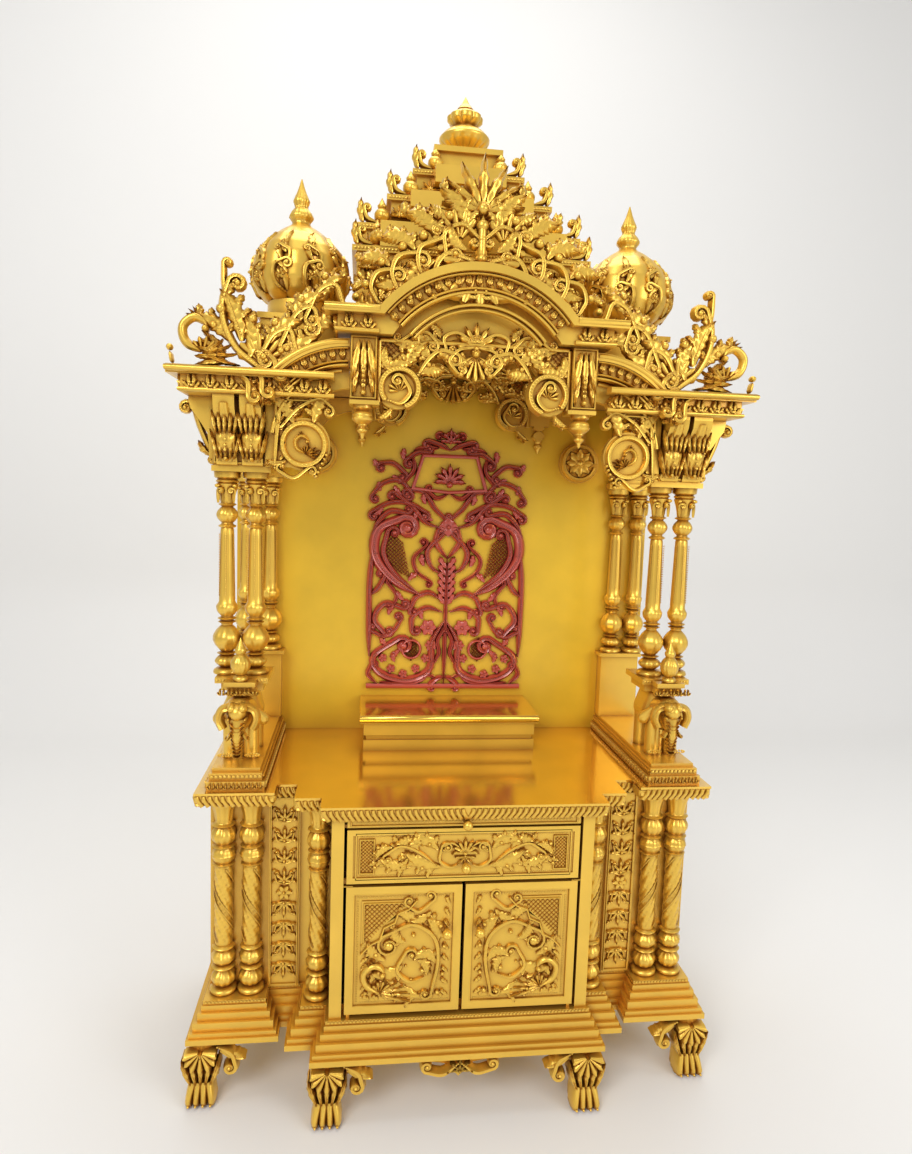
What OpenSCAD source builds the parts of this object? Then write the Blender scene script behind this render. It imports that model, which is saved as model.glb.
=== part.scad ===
// Wooden pooja mandir: a carved cabinet on paw feet that carries an open shrine,
// with elephants, turned columns, an arched canopy, two domes and a stepped tower.
// Millimetres. +X right, +Y to the back, +Z up. The origin is on the floor,
// under the middle of the whole object's box.

/* [Cabinet] */
// Width of the cabinet body
cabinet_w = 1058; // [900:2:1300]
// Depth of the cabinet body behind the piers' wall plane
body_depth = 394; // [330:2:480]
// Height of the paw feet
foot_h = 130; // [90:1:160]
// Height of the stepped plinth
plinth_h = 78; // [60:1:100]
// How far the plinth's foot stands out from the body
plinth_out = 36; // [24:1:44]
// Height of the cabinet body between plinth and cornice
body_h = 432; // [360:1:520]
// Height of the cornice and table top
cornice_h = 26; // [20:1:36]
// How far the cornice stands out from the body
cornice_out = 22; // [12:1:28]
// Width of the centre block that holds doors, drawer and tray
centre_w = 542; // [460:2:600]
// How far the centre block stands in front of the wall plane
centre_out = 128; // [110:1:150]
// Width of the bay beside the centre block that carries one column
bay_w = 54; // [50:1:70]
// How far that bay stands in front of the wall plane
bay_out = 76; // [68:1:90]
// Width of each outer pier
pier_w = 117; // [110:1:140]
// How far the pier's ledge stands in front of the wall plane
pier_out = 45; // [38:1:60]
// Thickness of the carcass boards
wall = 18; // [12:1:22]

/* [Doors, drawer and tray] */
// Width of the stiles beside the doors
stile_w = 25; // [20:1:40]
// Thickness of door, drawer and tray fronts
front_t = 18; // [14:1:22]
// Height of the drawer front
drawer_h = 113; // [90:1:140]
// Height of the pull-out tray's front
tray_h = 20; // [20:1:30]
// Gap round each moving front
front_gap = 6; // [5:0.5:8]
// Length of the drawer box behind its front
drawer_len = 340; // [200:1:340]
// Depth of the pull-out tray behind its front
tray_len = 330; // [200:1:340]
// Radius of the door pivots
pivot_r = 3; // [2:0.5:4]
// Radius of the knobs
knob_r = 10; // [8:0.5:12]

/* [Shrine] */
// Height of the rails at the sides of the table top
rail_h = 42; // [30:1:60]
// Height of the elephants
elephant_h = 144; // [120:1:170]
// Height of the plates that the elephants carry
plate_h = 31; // [24:1:40]
// Height of the upper columns
column_h = 435; // [360:1:520]
// Distance between the two columns of a pair
column_gap = 60; // [56:1:70]
// Radius of the upper columns' shafts
column_r = 17; // [13:0.5:18]
// Thickness of the slab on each pair of front columns
cap_t = 12; // [8:1:20]
// Height of the carved capital blocks
capital_h = 140; // [110:1:160]
// Thickness of the back panel
panel_t = 17; // [12:1:22]
// Half width of the deity seat
seat_half = 217; // [160:1:240]
// Depth of the deity seat
seat_d = 193; // [140:1:220]
// Height of the deity seat
seat_h = 89; // [70:1:110]
// Half width of the red lattice
lattice_half = 205; // [160:1:230]
// Height of the red lattice
lattice_h = 680; // [520:1:700]
// Thickness of the red lattice
lattice_t = 6; // [4:1:10]

/* [Canopy] */
// Half width of the wings under their cornice
wing_half = 585; // [560:1:660]
// How far each cornice's top edge stands out
lip_out = 25; // [10:1:32]
// Height of the cornices
eave_h = 50; // [40:1:60]
// Height of the top lip on a cornice
lip_h = 16; // [10:1:20]
// Rise from the wing cornice to the centre cornice
centre_rise = 125; // [110:1:150]
// Half width of the projecting centre bay under its cornice
centre_half = 279; // [262:1:300]
// How far the centre bay stands in front of the wings
centre_step = 43; // [30:1:60]
// Half width of the arch in the centre cornice's top edge
arch_half = 196; // [170:1:210]
// Rise of that arch
arch_rise = 93; // [60:1:110]
// Width of the pendant posts
post_w = 54; // [44:1:54]
// Height of the crest above the centre arch
crest_h = 209; // [150:1:240]
// Thickness of the crest boards
crest_t = 22; // [16:1:30]
// Radius of the two domes
dome_r = 103; // [80:1:110]
// Height of each tower tier
tier_h = 70; // [50:1:80]
// Radius of the main finial's bowl
finial_r = 61; // [45:1:70]
// Height of the main finial
finial_h = 152; // [130:1:180]

/* [Hidden] */

// Main planes
depth = body_depth + centre_out + plinth_out;
back_y = depth / 2;
main_y = back_y - body_depth;
centre_y = main_y - centre_out;
bay_y = main_y - bay_out;
pier_y = main_y - pier_out;
panel_y = back_y - panel_t;
half_w = cabinet_w / 2;
centre_x = centre_w / 2;
bay_x = centre_x + bay_w;
pier_x = half_w - pier_w;
pier_mid = half_w - pier_w / 2;
inner_x = centre_x - wall;

// Levels
plinth_z = foot_h + plinth_h;
cornice_z = plinth_z + body_h;
table_z = cornice_z + cornice_h;
rail_z = table_z + rail_h;
elephant_z = rail_z + elephant_h;
plate_z = elephant_z + plate_h;
cap_z = plate_z + column_h;
capital_z = cap_z + cap_t;
eave_z = capital_z + capital_h;
wing_top_z = eave_z + eave_h;
centre_eave_z = eave_z + centre_rise;
centre_top_z = centre_eave_z + eave_h;
roof_t = 12;
arch_top_z = centre_top_z + arch_rise;

// Fronts: doors at the bottom, then the drawer, then the pull-out tray
stile_x = centre_x - stile_w;
front_x = stile_x - front_gap;
tray_z1 = cornice_z - 5;
tray_z0 = tray_z1 - tray_h;
drawer_z1 = tray_z0 - 5;
drawer_z0 = drawer_z1 - drawer_h;
door_z1 = drawer_z0 - 7;
door_z0 = plinth_z + 8;
front_back = centre_y + front_t;
rail_y = front_back + 6;
rail_d = 18;
frame_back = rail_y + rail_d;
meeting_gap = 3.5;
running = 0.3;
pivot_x = front_x - 7;
pivot_y = centre_y + 7;
pivot_len = 12;
box_half = inner_x - 38;
box_wall = 10;
box_z0 = drawer_z0 + 8;
box_z1 = drawer_z1 - 10;

// Canopy planes
wing_y = main_y - 16;
wing_back = wing_y + 56;
post_x = centre_half - 25;
canopy_y = wing_y - centre_step;
column_y = main_y + 78;
column_x = pier_mid + 9;
rear_y = panel_y - 13;
fascia_y = canopy_y + 34;
rear_front = panel_y - 18;
wing_arch_in = post_x + 1;
wing_arch_r = 211;
wing_arch_z = wing_top_z + 68 - wing_arch_r;
arch_r = (arch_half * arch_half + arch_rise * arch_rise) / (2 * arch_rise);
arch_z = arch_top_z - arch_r;

gold = "goldenrod";
bright = "gold";
red = "indianred";

module box(x0, x1, y0, y1, z0, z1) {
  translate([x0, y0, z0]) cube([x1 - x0, y1 - y0, z1 - z0]);
}

// The children and their mirror image in the middle plane
module both() {
  children();
  mirror([1, 0, 0]) children();
}

// A flat outline in X and Z, made thick from y0 to y1
module upright(y0, y1) {
  translate([0, y1, 0]) rotate([90, 0, 0]) linear_extrude(y1 - y0) children();
}

// A flat outline in Y and Z, made thick from x0 to x1
module sideways(x0, x1) {
  translate([x0, 0, 0]) rotate([90, 0, 90]) linear_extrude(x1 - x0) children();
}

module disc(x, z, r) {
  translate([x, z]) circle(r, $fn = 64);
}

module rect(x0, x1, z0, z1) {
  translate([x0, z0]) square([x1 - x0, z1 - z0]);
}

// Profile points of a bulb: radius r at both ends and big at the middle
function bulb(z0, z1, r, big, n = 6) =
  [for (i = [0:n]) [r + (big - r) * sin(180 * i / n), z0 + (z1 - z0) * i / n]];

// Profile points of a flare: radius from r0 to r1 along a quarter wave
function flare(z0, z1, r0, r1, n = 4) =
  [for (i = [0:n]) [r0 + (r1 - r0) * (1 - cos(90 * i / n)), z0 + (z1 - z0) * i / n]];

// A turned solid from profile points, closed at the axis
module turned(x, y, z, points) {
  last = points[len(points) - 1];
  translate([x, y, z]) rotate_extrude($fn = 48)
    polygon(concat([[0, points[0][1]]], points, [[0, last[1]]]));
}

// The cabinet's outline seen from above, grown by out on all sides but the back
module plan(out) {
  translate([-half_w - out, main_y - out])
    square([cabinet_w + 2 * out, body_depth + out]);
  translate([-centre_x - out, centre_y - out])
    square([centre_w + 2 * out, centre_out + wall]);
  translate([-bay_x - out, bay_y - out])
    square([2 * (bay_x + out), bay_out + wall]);
  for (side = [-1, 1])
    translate([side * pier_mid - pier_w / 2 - out, pier_y - out])
      square([pier_w + 2 * out, pier_out + wall]);
}

module layer(z0, z1, out) {
  translate([0, 0, z0]) linear_extrude(z1 - z0) plan(out);
}

// ---- Feet, plinth and carcass ----

// One lion's paw: ankle, pad and four toes, facing the front
module paw(x, y) {
  leg_r = 26;
  toe_r = 11;
  translate([x, y, 0]) {
    hull() {
      translate([0, 4, foot_h - 14]) cylinder(h = 14, r = 32, $fn = 24);
      translate([0, 2, 62]) cylinder(h = 12, r = leg_r - 3, $fn = 24);
    }
    hull() {
      translate([0, 2, 62]) cylinder(h = 12, r = leg_r - 3, $fn = 24);
      translate([0, 4, 0]) cylinder(h = 14, r = leg_r, $fn = 24);
    }
    for (i = [-1.5:1:1.5])
      hull() {
        translate([i * 14, -16, 0]) cylinder(h = 22, r = toe_r - 3, $fn = 16);
        translate([i * 15, -26, 0]) cylinder(h = 14, r = toe_r - 3, $fn = 16);
      }
  }
}

module centre_feet() {
  color(gold) both() paw(centre_x, centre_y + 8);
}

module corner_feet() {
  color(gold) both() {
    paw(half_w + 5, pier_y - 2);
    translate([0, 2 * (back_y - 42), 0]) mirror([0, 1, 0]) paw(half_w + 5, back_y - 42);
  }
}

// Leafy scroll brackets beside the feet, and the apron in the middle
module foot_brackets() {
  z1 = foot_h;
  color(gold) {
    both() upright(centre_y - 12, centre_y + 6)
      polygon([[centre_x - 33, z1], [centre_x - 33, z1 - 40],
        [centre_x - 60, z1 - 22], [centre_x - 112, z1 - 12], [centre_x - 120, z1]]);
    both() upright(pier_y - 12, pier_y + 6)
      polygon([[half_w - 28, z1], [half_w - 28, z1 - 38],
        [half_w - 60, z1 - 18], [half_w - 98, z1 - 10], [half_w - 104, z1]]);
    upright(centre_y - 12, centre_y + 6)
      polygon([[-86, z1], [-74, z1 - 16], [-30, z1 - 24], [0, z1 - 54],
        [30, z1 - 24], [74, z1 - 16], [86, z1]]);
  }
}

// Plinth: a torus-like foot, two steps, a slope and a bead fillet
module plinth() {
  color(gold) {
    layer(foot_h, foot_h + 12, plinth_out);
    layer(foot_h + 12, foot_h + 22, plinth_out - 5);
    layer(foot_h + 22, foot_h + 40, plinth_out - 12);
    layer(foot_h + 40, foot_h + 56, plinth_out - 20);
    layer(foot_h + 56, plinth_z - 9, plinth_out - 27);
    layer(plinth_z - 9, plinth_z, 6);
  }
}

module cabinet_floor() {
  color(gold) box(-inner_x, inner_x, frame_back, panel_y, plinth_z, plinth_z + wall);
}

module cabinet_back() {
  color(gold) box(-half_w, half_w, panel_y, back_y, plinth_z, cornice_z);
}

// Outer side board and the front wall between it and the centre block
module side_walls() {
  color(gold) both() {
    box(half_w - wall, half_w, main_y, panel_y, plinth_z, cornice_z);
    box(centre_x, half_w, main_y, main_y + wall, plinth_z, cornice_z);
  }
}

module inner_walls() {
  color(gold) both()
    box(inner_x, centre_x, frame_back, panel_y, plinth_z, cornice_z);
}

// Stiles at the sides of the fronts, and rails behind the gaps between them
module front_frame() {
  color(gold) {
    both() box(stile_x, centre_x, centre_y, frame_back, plinth_z, cornice_z);
    box(-stile_x, stile_x, rail_y, frame_back, plinth_z, door_z0 + 8);
    box(-stile_x, stile_x, rail_y, frame_back, door_z1 - 6, drawer_z0 + 1);
    box(-stile_x, stile_x, rail_y, frame_back, box_z1 + 5, tray_z0 - 3);
  }
}

// Carved panels on the wall between the piers and the single columns
module carved_strips() {
  strip_t = 12;
  color(gold) both()
    box(bay_x + 16, pier_x - 6, main_y - strip_t, main_y, plinth_z, cornice_z);
}

// Height h, turned: base rings, melon bulb, rope shaft, collar, bulb, bell
module base_column(x, y, h, r) {
  points = concat(
    [[r + 8, 0], [r + 8, 8], [r + 2, 12]], bulb(14, 48, r - 6, r + 5),
    [[r, 54], [r, 60]], bulb(62, 92, r - 6, r + 3), [[r - 1, 98], [r - 1, 104]],
    [[r - 4, 110], [r - 4, h - 150], [r + 3, h - 144], [r + 4, h - 110]],
    [[r - 5, h - 106]], bulb(h - 102, h - 66, r - 5, r + 5),
    [[r - 3, h - 58]], flare(h - 54, h - 14, r - 4, r + 6), [[r + 8, h - 10], [r + 8, h]]);
  turned(x, y, plinth_z, points);
}

// One free column on each bay, and two on each pier cut flat by the wall
module base_columns() {
  r = 20;
  color(gold) both() {
    base_column(centre_x + bay_w / 2 + 1, bay_y + 30, body_h, r - 2);
    intersection() {
      for (side = [-1, 1])
        base_column(pier_mid + side * 29, main_y - 12, body_h, r - 1);
      box(pier_x, half_w, pier_y, main_y, plinth_z, cornice_z);
    }
  }
}

// The table top with its rounded gadroon edge in three layers
module table_top() {
  color(bright) {
    layer(cornice_z, cornice_z + 6, cornice_out - 12);
    layer(cornice_z + 6, table_z - 5, cornice_out - 2);
    layer(table_z - 5, table_z, cornice_out);
  }
}

// ---- Doors, drawer and tray ----

module knob(x, z) {
  translate([x, centre_y, z]) rotate([90, 0, 0]) {
    cylinder(h = 14, r = knob_r * 0.5, $fn = 32);
    translate([0, 0, 14]) cylinder(h = 3, r = knob_r * 0.8, $fn = 32);
    translate([0, 0, 17 + knob_r * 0.6]) sphere(knob_r, $fn = 32);
  }
}

// Pins above and below each door's outer edge, with a washer and a top plate
module door_pivots() {
  plate_t = 1.7;
  color(gold) both() {
    translate([pivot_x, pivot_y, plinth_z])
      cylinder(h = door_z0 - plinth_z - running, r = pivot_r + 2, $fn = 32);
    translate([pivot_x, pivot_y, plinth_z])
      cylinder(h = door_z0 - plinth_z + pivot_len, r = pivot_r, $fn = 32);
    box(pivot_x - 6, stile_x, pivot_y - 6, pivot_y + 6,
      door_z1 + running, door_z1 + running + plate_t);
    translate([pivot_x, pivot_y, door_z1 - pivot_len])
      cylinder(h = pivot_len + running + plate_t, r = pivot_r, $fn = 32);
  }
}

// Strips under the drawer box and the tray, carried by the inner walls
module slide_runners() {
  runner_back = frame_back + drawer_len;
  color(gold) both() {
    box(box_half - 20, inner_x, frame_back, runner_back, box_z0 - 7, box_z0 - running);
    box(box_half - 20, inner_x, frame_back, runner_back, box_z1 + 5, tray_z0 + 2 - running);
  }
}

// A door with a raised border round a sunk field, and its knob
module door() {
  border = 16;
  sunk = 4;
  difference() {
    box(meeting_gap, front_x, centre_y, front_back, door_z0, door_z1);
    box(meeting_gap + border, front_x - border, centre_y - 1, centre_y + sunk,
      door_z0 + border, door_z1 - border);
    translate([pivot_x, pivot_y, door_z0 - 1])
      cylinder(h = pivot_len + 1.5, r = pivot_r + 0.1, $fn = 32);
    translate([pivot_x, pivot_y, door_z1 - pivot_len - 0.5])
      cylinder(h = pivot_len + 1.5, r = pivot_r + 0.1, $fn = 32);
  }
  translate([0, sunk, 0]) knob(34, door_z0 + 177);
}

module right_door() {
  color(gold) door();
}

module left_door() {
  color(gold) mirror([1, 0, 0]) door();
}

// Drawer front with a sunk field, its open box behind, and its knob
module drawer() {
  border = 12;
  sunk = 3;
  box_back = front_back + drawer_len;
  color(gold) {
    difference() {
      box(-front_x, front_x, centre_y, front_back, drawer_z0, drawer_z1);
      box(border - front_x, front_x - border, centre_y - 1, centre_y + sunk,
        drawer_z0 + border, drawer_z1 - border);
    }
    difference() {
      box(-box_half, box_half, front_back, box_back, box_z0, box_z1);
      box(box_wall - box_half, box_half - box_wall, front_back, box_back - box_wall,
        box_z0 + box_wall, box_z1 + 1);
    }
    translate([0, sunk, 0]) knob(0, drawer_z0 + 36);
  }
}

// The slim pull-out tray with its knob
module tray() {
  color(gold) {
    box(-front_x, front_x, centre_y, front_back, tray_z0, tray_z1);
    box(-box_half, box_half, front_back, front_back + tray_len, tray_z0 + 2, tray_z1 - 4);
    knob(0, tray_z0 + tray_h / 2);
  }
}

// ---- Shrine ----

// One board behind the shrine, stepped up behind the centre bay
module back_panel() {
  color(bright) {
    box(-half_w - 6, half_w + 6, panel_y, back_y, table_z, wing_top_z);
    box(-post_x, post_x, panel_y, back_y, wing_top_z, centre_top_z);
  }
}

module seat_body() {
  z1 = table_z + seat_h - 20;
  color(gold) {
    box(8 - seat_half, seat_half - 8, panel_y - seat_d + 8, panel_y, table_z, table_z + 26);
    box(14 - seat_half, seat_half - 14, panel_y - seat_d + 14, panel_y,
      table_z + 26, table_z + 38);
    box(8 - seat_half, seat_half - 8, panel_y - seat_d + 8, panel_y, table_z + 38, z1);
  }
}

module seat_top() {
  z1 = table_z + seat_h;
  color(bright) box(-seat_half, seat_half, panel_y - seat_d, panel_y, z1 - 20, z1);
}

// Right half of the lattice's outline from the bottom up: a straight side, a
// round shoulder, a second round swell and a pointed tip
function lattice_side(z0, top) =
  let (x1 = lattice_half - 70, z1 = top - 190, x2 = 72)
  concat([[lattice_half - 5, z0], [lattice_half - 5, z1 - 14]],
    [for (a = [0:15:75]) [x1 + 70 * cos(a), z1 + 70 * sin(a)]],
    [for (a = [30:15:75]) [30 + x2 * cos(a), z1 + 62 + x2 * sin(a)]],
    [[22, top - 34]]);

// The red lattice: a board with a rim, a stem and bars left between its holes
module lattice() {
  z0 = table_z + seat_h + 22;
  top = z0 + lattice_h;
  side = lattice_side(z0, top);
  last = len(side) - 1;
  hole_x = lattice_half / 2 - 3;
  color(red) upright(panel_y - lattice_t, panel_y) difference() {
    polygon(concat(side, [[0, top]], [for (i = [last:-1:0]) [-side[i][0], side[i][1]]]));
    for (s = [-1, 1]) {
      disc(s * hole_x, z0 + 110, 76);
      disc(s * hole_x, z0 + 250, 44);
      disc(s * hole_x, z0 + 385, 74);
      disc(s * (hole_x - 20), z0 + 520, 42);
    }
  }
}

// Stepped rails along the table's sides
module side_rails() {
  color(gold) both() {
    box(pier_x, half_w, pier_y - 8, panel_y, table_z, table_z + 19);
    box(pier_x + 6, half_w - 4, pier_y, panel_y, table_z + 19, table_z + 34);
    box(pier_x + 11, half_w - 9, pier_y + 10, panel_y, table_z + 34, rail_z);
  }
}

// An elephant facing the front: body, four legs, head, trunk and ears
module elephant() {
  e = elephant_h;
  facets = 20;
  translate([pier_mid + 2, column_y, rail_z]) {
    hull() {
      translate([0, -22, e - 50]) sphere(44, $fn = facets);
      translate([0, 34, e - 54]) sphere(40, $fn = facets);
      translate([-26, -24, e - 8]) cube([52, 60, 8]);
    }
    for (side = [-1, 1], y = [-38, 34])
      translate([side * 21, y, 0]) cylinder(h = e - 50, r = 17, $fn = 16);
    hull() {
      translate([0, -66, e - 34]) sphere(30, $fn = facets);
      translate([0, -44, e - 42]) sphere(36, $fn = facets);
    }
    hull() {
      translate([0, -84, e - 48]) sphere(20, $fn = 16);
      translate([0, -96, e - 84]) sphere(12, $fn = 16);
    }
    hull() {
      translate([0, -96, e - 84]) sphere(12, $fn = 16);
      translate([0, -90, 26]) sphere(8, $fn = 16);
    }
    for (side = [-1, 1])
      hull() {
        translate([side * 30, -52, e - 38]) sphere(8, $fn = 12);
        translate([side * 46, -40, e - 60]) sphere(14, $fn = 12);
      }
  }
}

module right_elephant() {
  color(gold) elephant();
}

module left_elephant() {
  color(gold) mirror([1, 0, 0]) elephant();
}

// Carved plates on each elephant: a wide one for the columns, a small one in front
module bracket_plates() {
  z1 = plate_z;
  color(gold) both() {
    box(pier_mid - 43, pier_mid + 45, column_y - 36, column_y + 52, elephant_z, z1 - 12);
    box(pier_mid - 54, pier_mid + 56, column_y - 50, column_y + 62, z1 - 12, z1);
    box(pier_mid - 26, pier_mid + 26, column_y - 76, column_y - 36, elephant_z, z1 - 14);
    box(pier_mid - 32, pier_mid + 32, column_y - 84, column_y - 50, z1 - 12, z1 - 2);
  }
}

// Small kalash pots in front of the columns
module kalash_urns() {
  points = concat([[15, 0], [15, 5], [9, 9]], bulb(12, 44, 12, 21), [[12, 48], [16, 54]],
    [[9, 58]], bulb(60, 76, 7, 11), [[5, 80], [1, 92]]);
  color(gold) both() turned(pier_mid, column_y - 67, plate_z - 2, points);
}

// Height h, turned: base rings, melon, vase bulb, neck, shaft, bulb, capital
module upper_column(x, y, z, h, r) {
  points = concat(
    [[r + 8, 0], [r + 8, 8], [r, 12]], bulb(14, 40, r - 5, r + 6), [[r - 3, 44]],
    bulb(48, 104, r - 6, r + 3), [[r - 7, 112], [r, 118], [r, 124]],
    flare(126, 152, r - 6, r + 2), [[r - 1, 158], [r - 3, h - 122], [r + 3, h - 116]],
    [[r - 6, h - 110]], bulb(h - 108, h - 74, r - 5, r + 6), [[r - 3, h - 68]],
    flare(h - 64, h - 26, r - 5, r + 6), [[r + 11, h - 20], [r + 11, h]]);
  turned(x, y, z, points);
}

module front_columns() {
  color(gold) both()
    for (side = [-1, 1])
      upper_column(column_x + side * column_gap / 2, column_y, plate_z, column_h, column_r);
}

module rear_pedestals() {
  y0 = panel_y - 36;
  color(gold) both() {
    box(pier_x + 8, half_w - 9, y0, panel_y, rail_z, plate_z - 12);
    box(pier_x + 1, half_w - 2, y0 - 8, panel_y, plate_z - 12, plate_z - 3);
  }
}

// Two half-sunk columns on each side of the back panel, cut flat by it
module rear_columns() {
  color(gold) both() intersection() {
    for (side = [-1, 1])
      upper_column(column_x + side * (column_gap / 2 - 1), rear_y, plate_z - 3,
        column_h, column_r);
    box(pier_x, half_w + 6, rear_y - 40, panel_y, plate_z - 3, cap_z);
  }
}

module cap_slabs() {
  color(gold) both() {
    box(column_x - 64, column_x + 57, column_y - 36, column_y + 34, cap_z, capital_z);
    box(column_x - 60, column_x + 54, rear_y - 24, panel_y, cap_z - 3, capital_z);
  }
}

// ---- Canopy ----

// A corbel seen from the side: an S from the block's foot out to the eave
module corbel_profile(reach) {
  polygon([[0, 0], [-8, 2], [-13, 16], [-12, 36], [-16, 66], [-reach * 0.66, 96],
    [-reach * 0.94, 116], [-reach, capital_h - 8], [-reach, capital_h], [0, capital_h]]);
}

// Blocks on the slabs, each with two front corbels and one side corbel
module capital_blocks() {
  x0 = column_x - 54;
  x1 = column_x + 50;
  y0 = column_y - 36;
  z0 = capital_z;
  color(gold) both() {
    box(x0, x1, y0, column_y + 34, z0, eave_z);
    for (x = [x0 + 5, x0 + 57])
      sideways(x, x + 42) translate([y0, z0]) corbel_profile(54);
    upright(y0 + 6, y0 + 58)
      translate([x1, z0]) mirror([1, 0]) corbel_profile(54);
    box(x0 - 19, x0 - 0.5, y0 - 14, y0 + 22, z0, eave_z);
    box(x0 + 4, x1, rear_y - 18, panel_y, z0, eave_z);
  }
}

// Beams from the front blocks back to the rear ones
module side_beams() {
  color(gold) both()
    box(column_x - 50, column_x + 50, column_y + 34, rear_y - 18, eave_z - 34, eave_z);
}

// Wing cornice seen from the front, between height lines z0 and z1, out at its end
module wing_band(z0, z1, out) {
  r1 = wing_arch_r - (wing_top_z - z1);
  r0 = wing_arch_r - (wing_top_z - z0);
  rect(wing_arch_in + sqrt(r1 * r1 - pow(z0 - wing_arch_z, 2)), wing_half + out, z0, z1);
  intersection() {
    difference() {
      disc(wing_arch_in, wing_arch_z, r1);
      disc(wing_arch_in, wing_arch_z, r0);
    }
    rect(wing_arch_in, wing_half, z0, z1 + wing_arch_r);
  }
}

// Cornices of the wings: along the front with a quarter arch, and down each side
module wing_cornices() {
  side_x = column_x + 50;
  z2 = wing_top_z - lip_h;
  color(gold) both() {
    upright(wing_y, wing_back) wing_band(eave_z, z2, 0);
    upright(wing_y - lip_out + 9, wing_back) wing_band(z2, wing_top_z, lip_out);
    box(side_x, wing_half, wing_back, panel_y, eave_z, z2);
    box(side_x, wing_half + lip_out, wing_back, panel_y, z2, wing_top_z);
  }
}

// Pierced brackets under the wing arches: a medallion and a scroll up to the post
module wing_brackets() {
  y0 = wing_y + 30;
  x1 = column_x - 73;
  color(gold) both() upright(y0, y0 + 18) {
    intersection() {
      difference() {
        disc(wing_arch_in, wing_arch_z, wing_arch_r - eave_h);
        disc(wing_arch_in - 10, wing_arch_z - 26, wing_arch_r - 66);
      }
      rect(wing_arch_in, x1, eave_z - 60, wing_top_z + 60);
    }
    rect(x1 - 40, x1, capital_z, eave_z);
    disc(x1 - 60, capital_z + 48, 54);
  }
}

// Posts at the sides of the centre bay, each with a plate and a hanging urn
module pendant_posts() {
  x0 = post_x - post_w;
  y0 = fascia_y - 12;
  mid = (x0 + post_x) / 2;
  z0 = eave_z - 11;
  points = concat([[1, -67], [5, -58]], bulb(-56, -44, 6, 11), [[10, -40]],
    bulb(-38, -14, 10, 22), [[14, -10], [20, -6], [20, 0]]);
  color(gold) both() {
    box(x0 + 1, post_x - 1, y0, y0 + 40, z0 + 8, centre_eave_z);
    box(x0 - 6, post_x, y0 - 6, y0 + 46, z0, z0 + 8);
    turned(mid, y0 + 20, z0, points);
  }
}

// Board under the centre arch with a cusped opening between two great scrolls
module centre_fascia() {
  x1 = post_x - post_w;
  z0 = eave_z - 16;
  color(gold) upright(fascia_y, fascia_y + 18) {
    difference() {
      union() {
        intersection() {
          disc(0, arch_z, arch_r - eave_h);
          rect(-x1, x1, centre_eave_z - 90, arch_top_z);
        }
        rect(-x1, x1, centre_eave_z - 90, centre_eave_z);
      }
      disc(0, centre_eave_z - 150, 160);
    }
    for (side = [-1, 1]) disc(side * (x1 - 42), z0 + 42, 42);
  }
}

// Centre cornice seen from the front: level shoulders and a segment arch
module centre_band(low, high, out) {
  z0 = centre_top_z - low;
  z1 = centre_top_z - high;
  r0 = arch_r - low;
  r1 = arch_r - high;
  difference() {
    union() {
      rect(-centre_half - out, centre_half + out, z0, z1);
      intersection() {
        disc(0, arch_z, r1);
        rect(-arch_half, arch_half, z0, arch_top_z);
      }
    }
    intersection() {
      disc(0, arch_z, r0);
      rect(-arch_half, arch_half, z0 - 1, arch_top_z);
    }
  }
}

module centre_cornice() {
  y1 = canopy_y + 54;
  color(gold) {
    upright(canopy_y, fascia_y) centre_band(eave_h, lip_h, 0);
    upright(canopy_y - lip_out + 2, y1) centre_band(lip_h, 0, lip_out);
    both() box(post_x, centre_half, fascia_y, panel_y, centre_eave_z, centre_top_z - lip_h);
  }
}

// The same arch repeated on the back panel, with its own hanging urns
module rear_arch() {
  y0 = rear_front;
  x1 = post_x - post_w;
  mid = post_x - post_w / 2;
  points = concat([[1, -70], [5, -60]], bulb(-58, -44, 6, 10), [[8, -40]],
    bulb(-38, -12, 8, 17), [[16, -6], [16, 0]]);
  color(gold) {
    upright(y0, panel_y) {
      difference() {
        rect(-x1 - 1, x1 + 1, centre_eave_z - 84, centre_top_z - roof_t);
        disc(0, centre_eave_z - 150, 150);
      }
      for (side = [-1, 1]) {
        disc(side * (x1 - 38), eave_z + 26, 40);
        rect(side * mid - post_w / 2, side * mid + post_w / 2, eave_z, centre_top_z - roof_t);
        difference() {
          rect(side * (mid + 76) - 50, side * (mid + 76) + 50, eave_z - 60, wing_top_z - 2);
          disc(side * (mid + 16), eave_z - 90, 108);
        }
        disc(side * (mid + 112), capital_z + 50, 52);
      }
    }
    both() intersection() {
      turned(mid, panel_y - 9, eave_z, points);
      box(mid - 30, mid + 30, y0, panel_y, eave_z - 80, eave_z);
    }
  }
}

// Ceilings: one over each wing, one over the centre bay, and boards between them
module roof_boards() {
  y0 = wing_back;
  color(gold) {
    both() box(post_x, wing_half, y0, back_y, wing_top_z, wing_top_z + roof_t);
    both() box(post_x - 16, post_x, fascia_y + 28, rear_front, wing_top_z + roof_t,
      centre_top_z - roof_t);
    box(-post_x, post_x, fascia_y + 28, panel_y, centre_top_z - roof_t, centre_top_z);
  }
}

// Square boxes that carry the domes
module dome_boxes() {
  z0 = wing_top_z + roof_t;
  z1 = centre_top_z + 6;
  y = column_y + 70;
  x = centre_half + 88;
  half = 82;
  color(gold) both() {
    box(x - half + 4, x + half - 6, y - half + 6, y + half - 6, z0, z1 - 12);
    box(x - half + 4, x + half, y - half, y + half, z1 - 12, z1);
    translate([x, y, z1]) cylinder(h = 34, r = 70, $fn = 48);
  }
}

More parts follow.
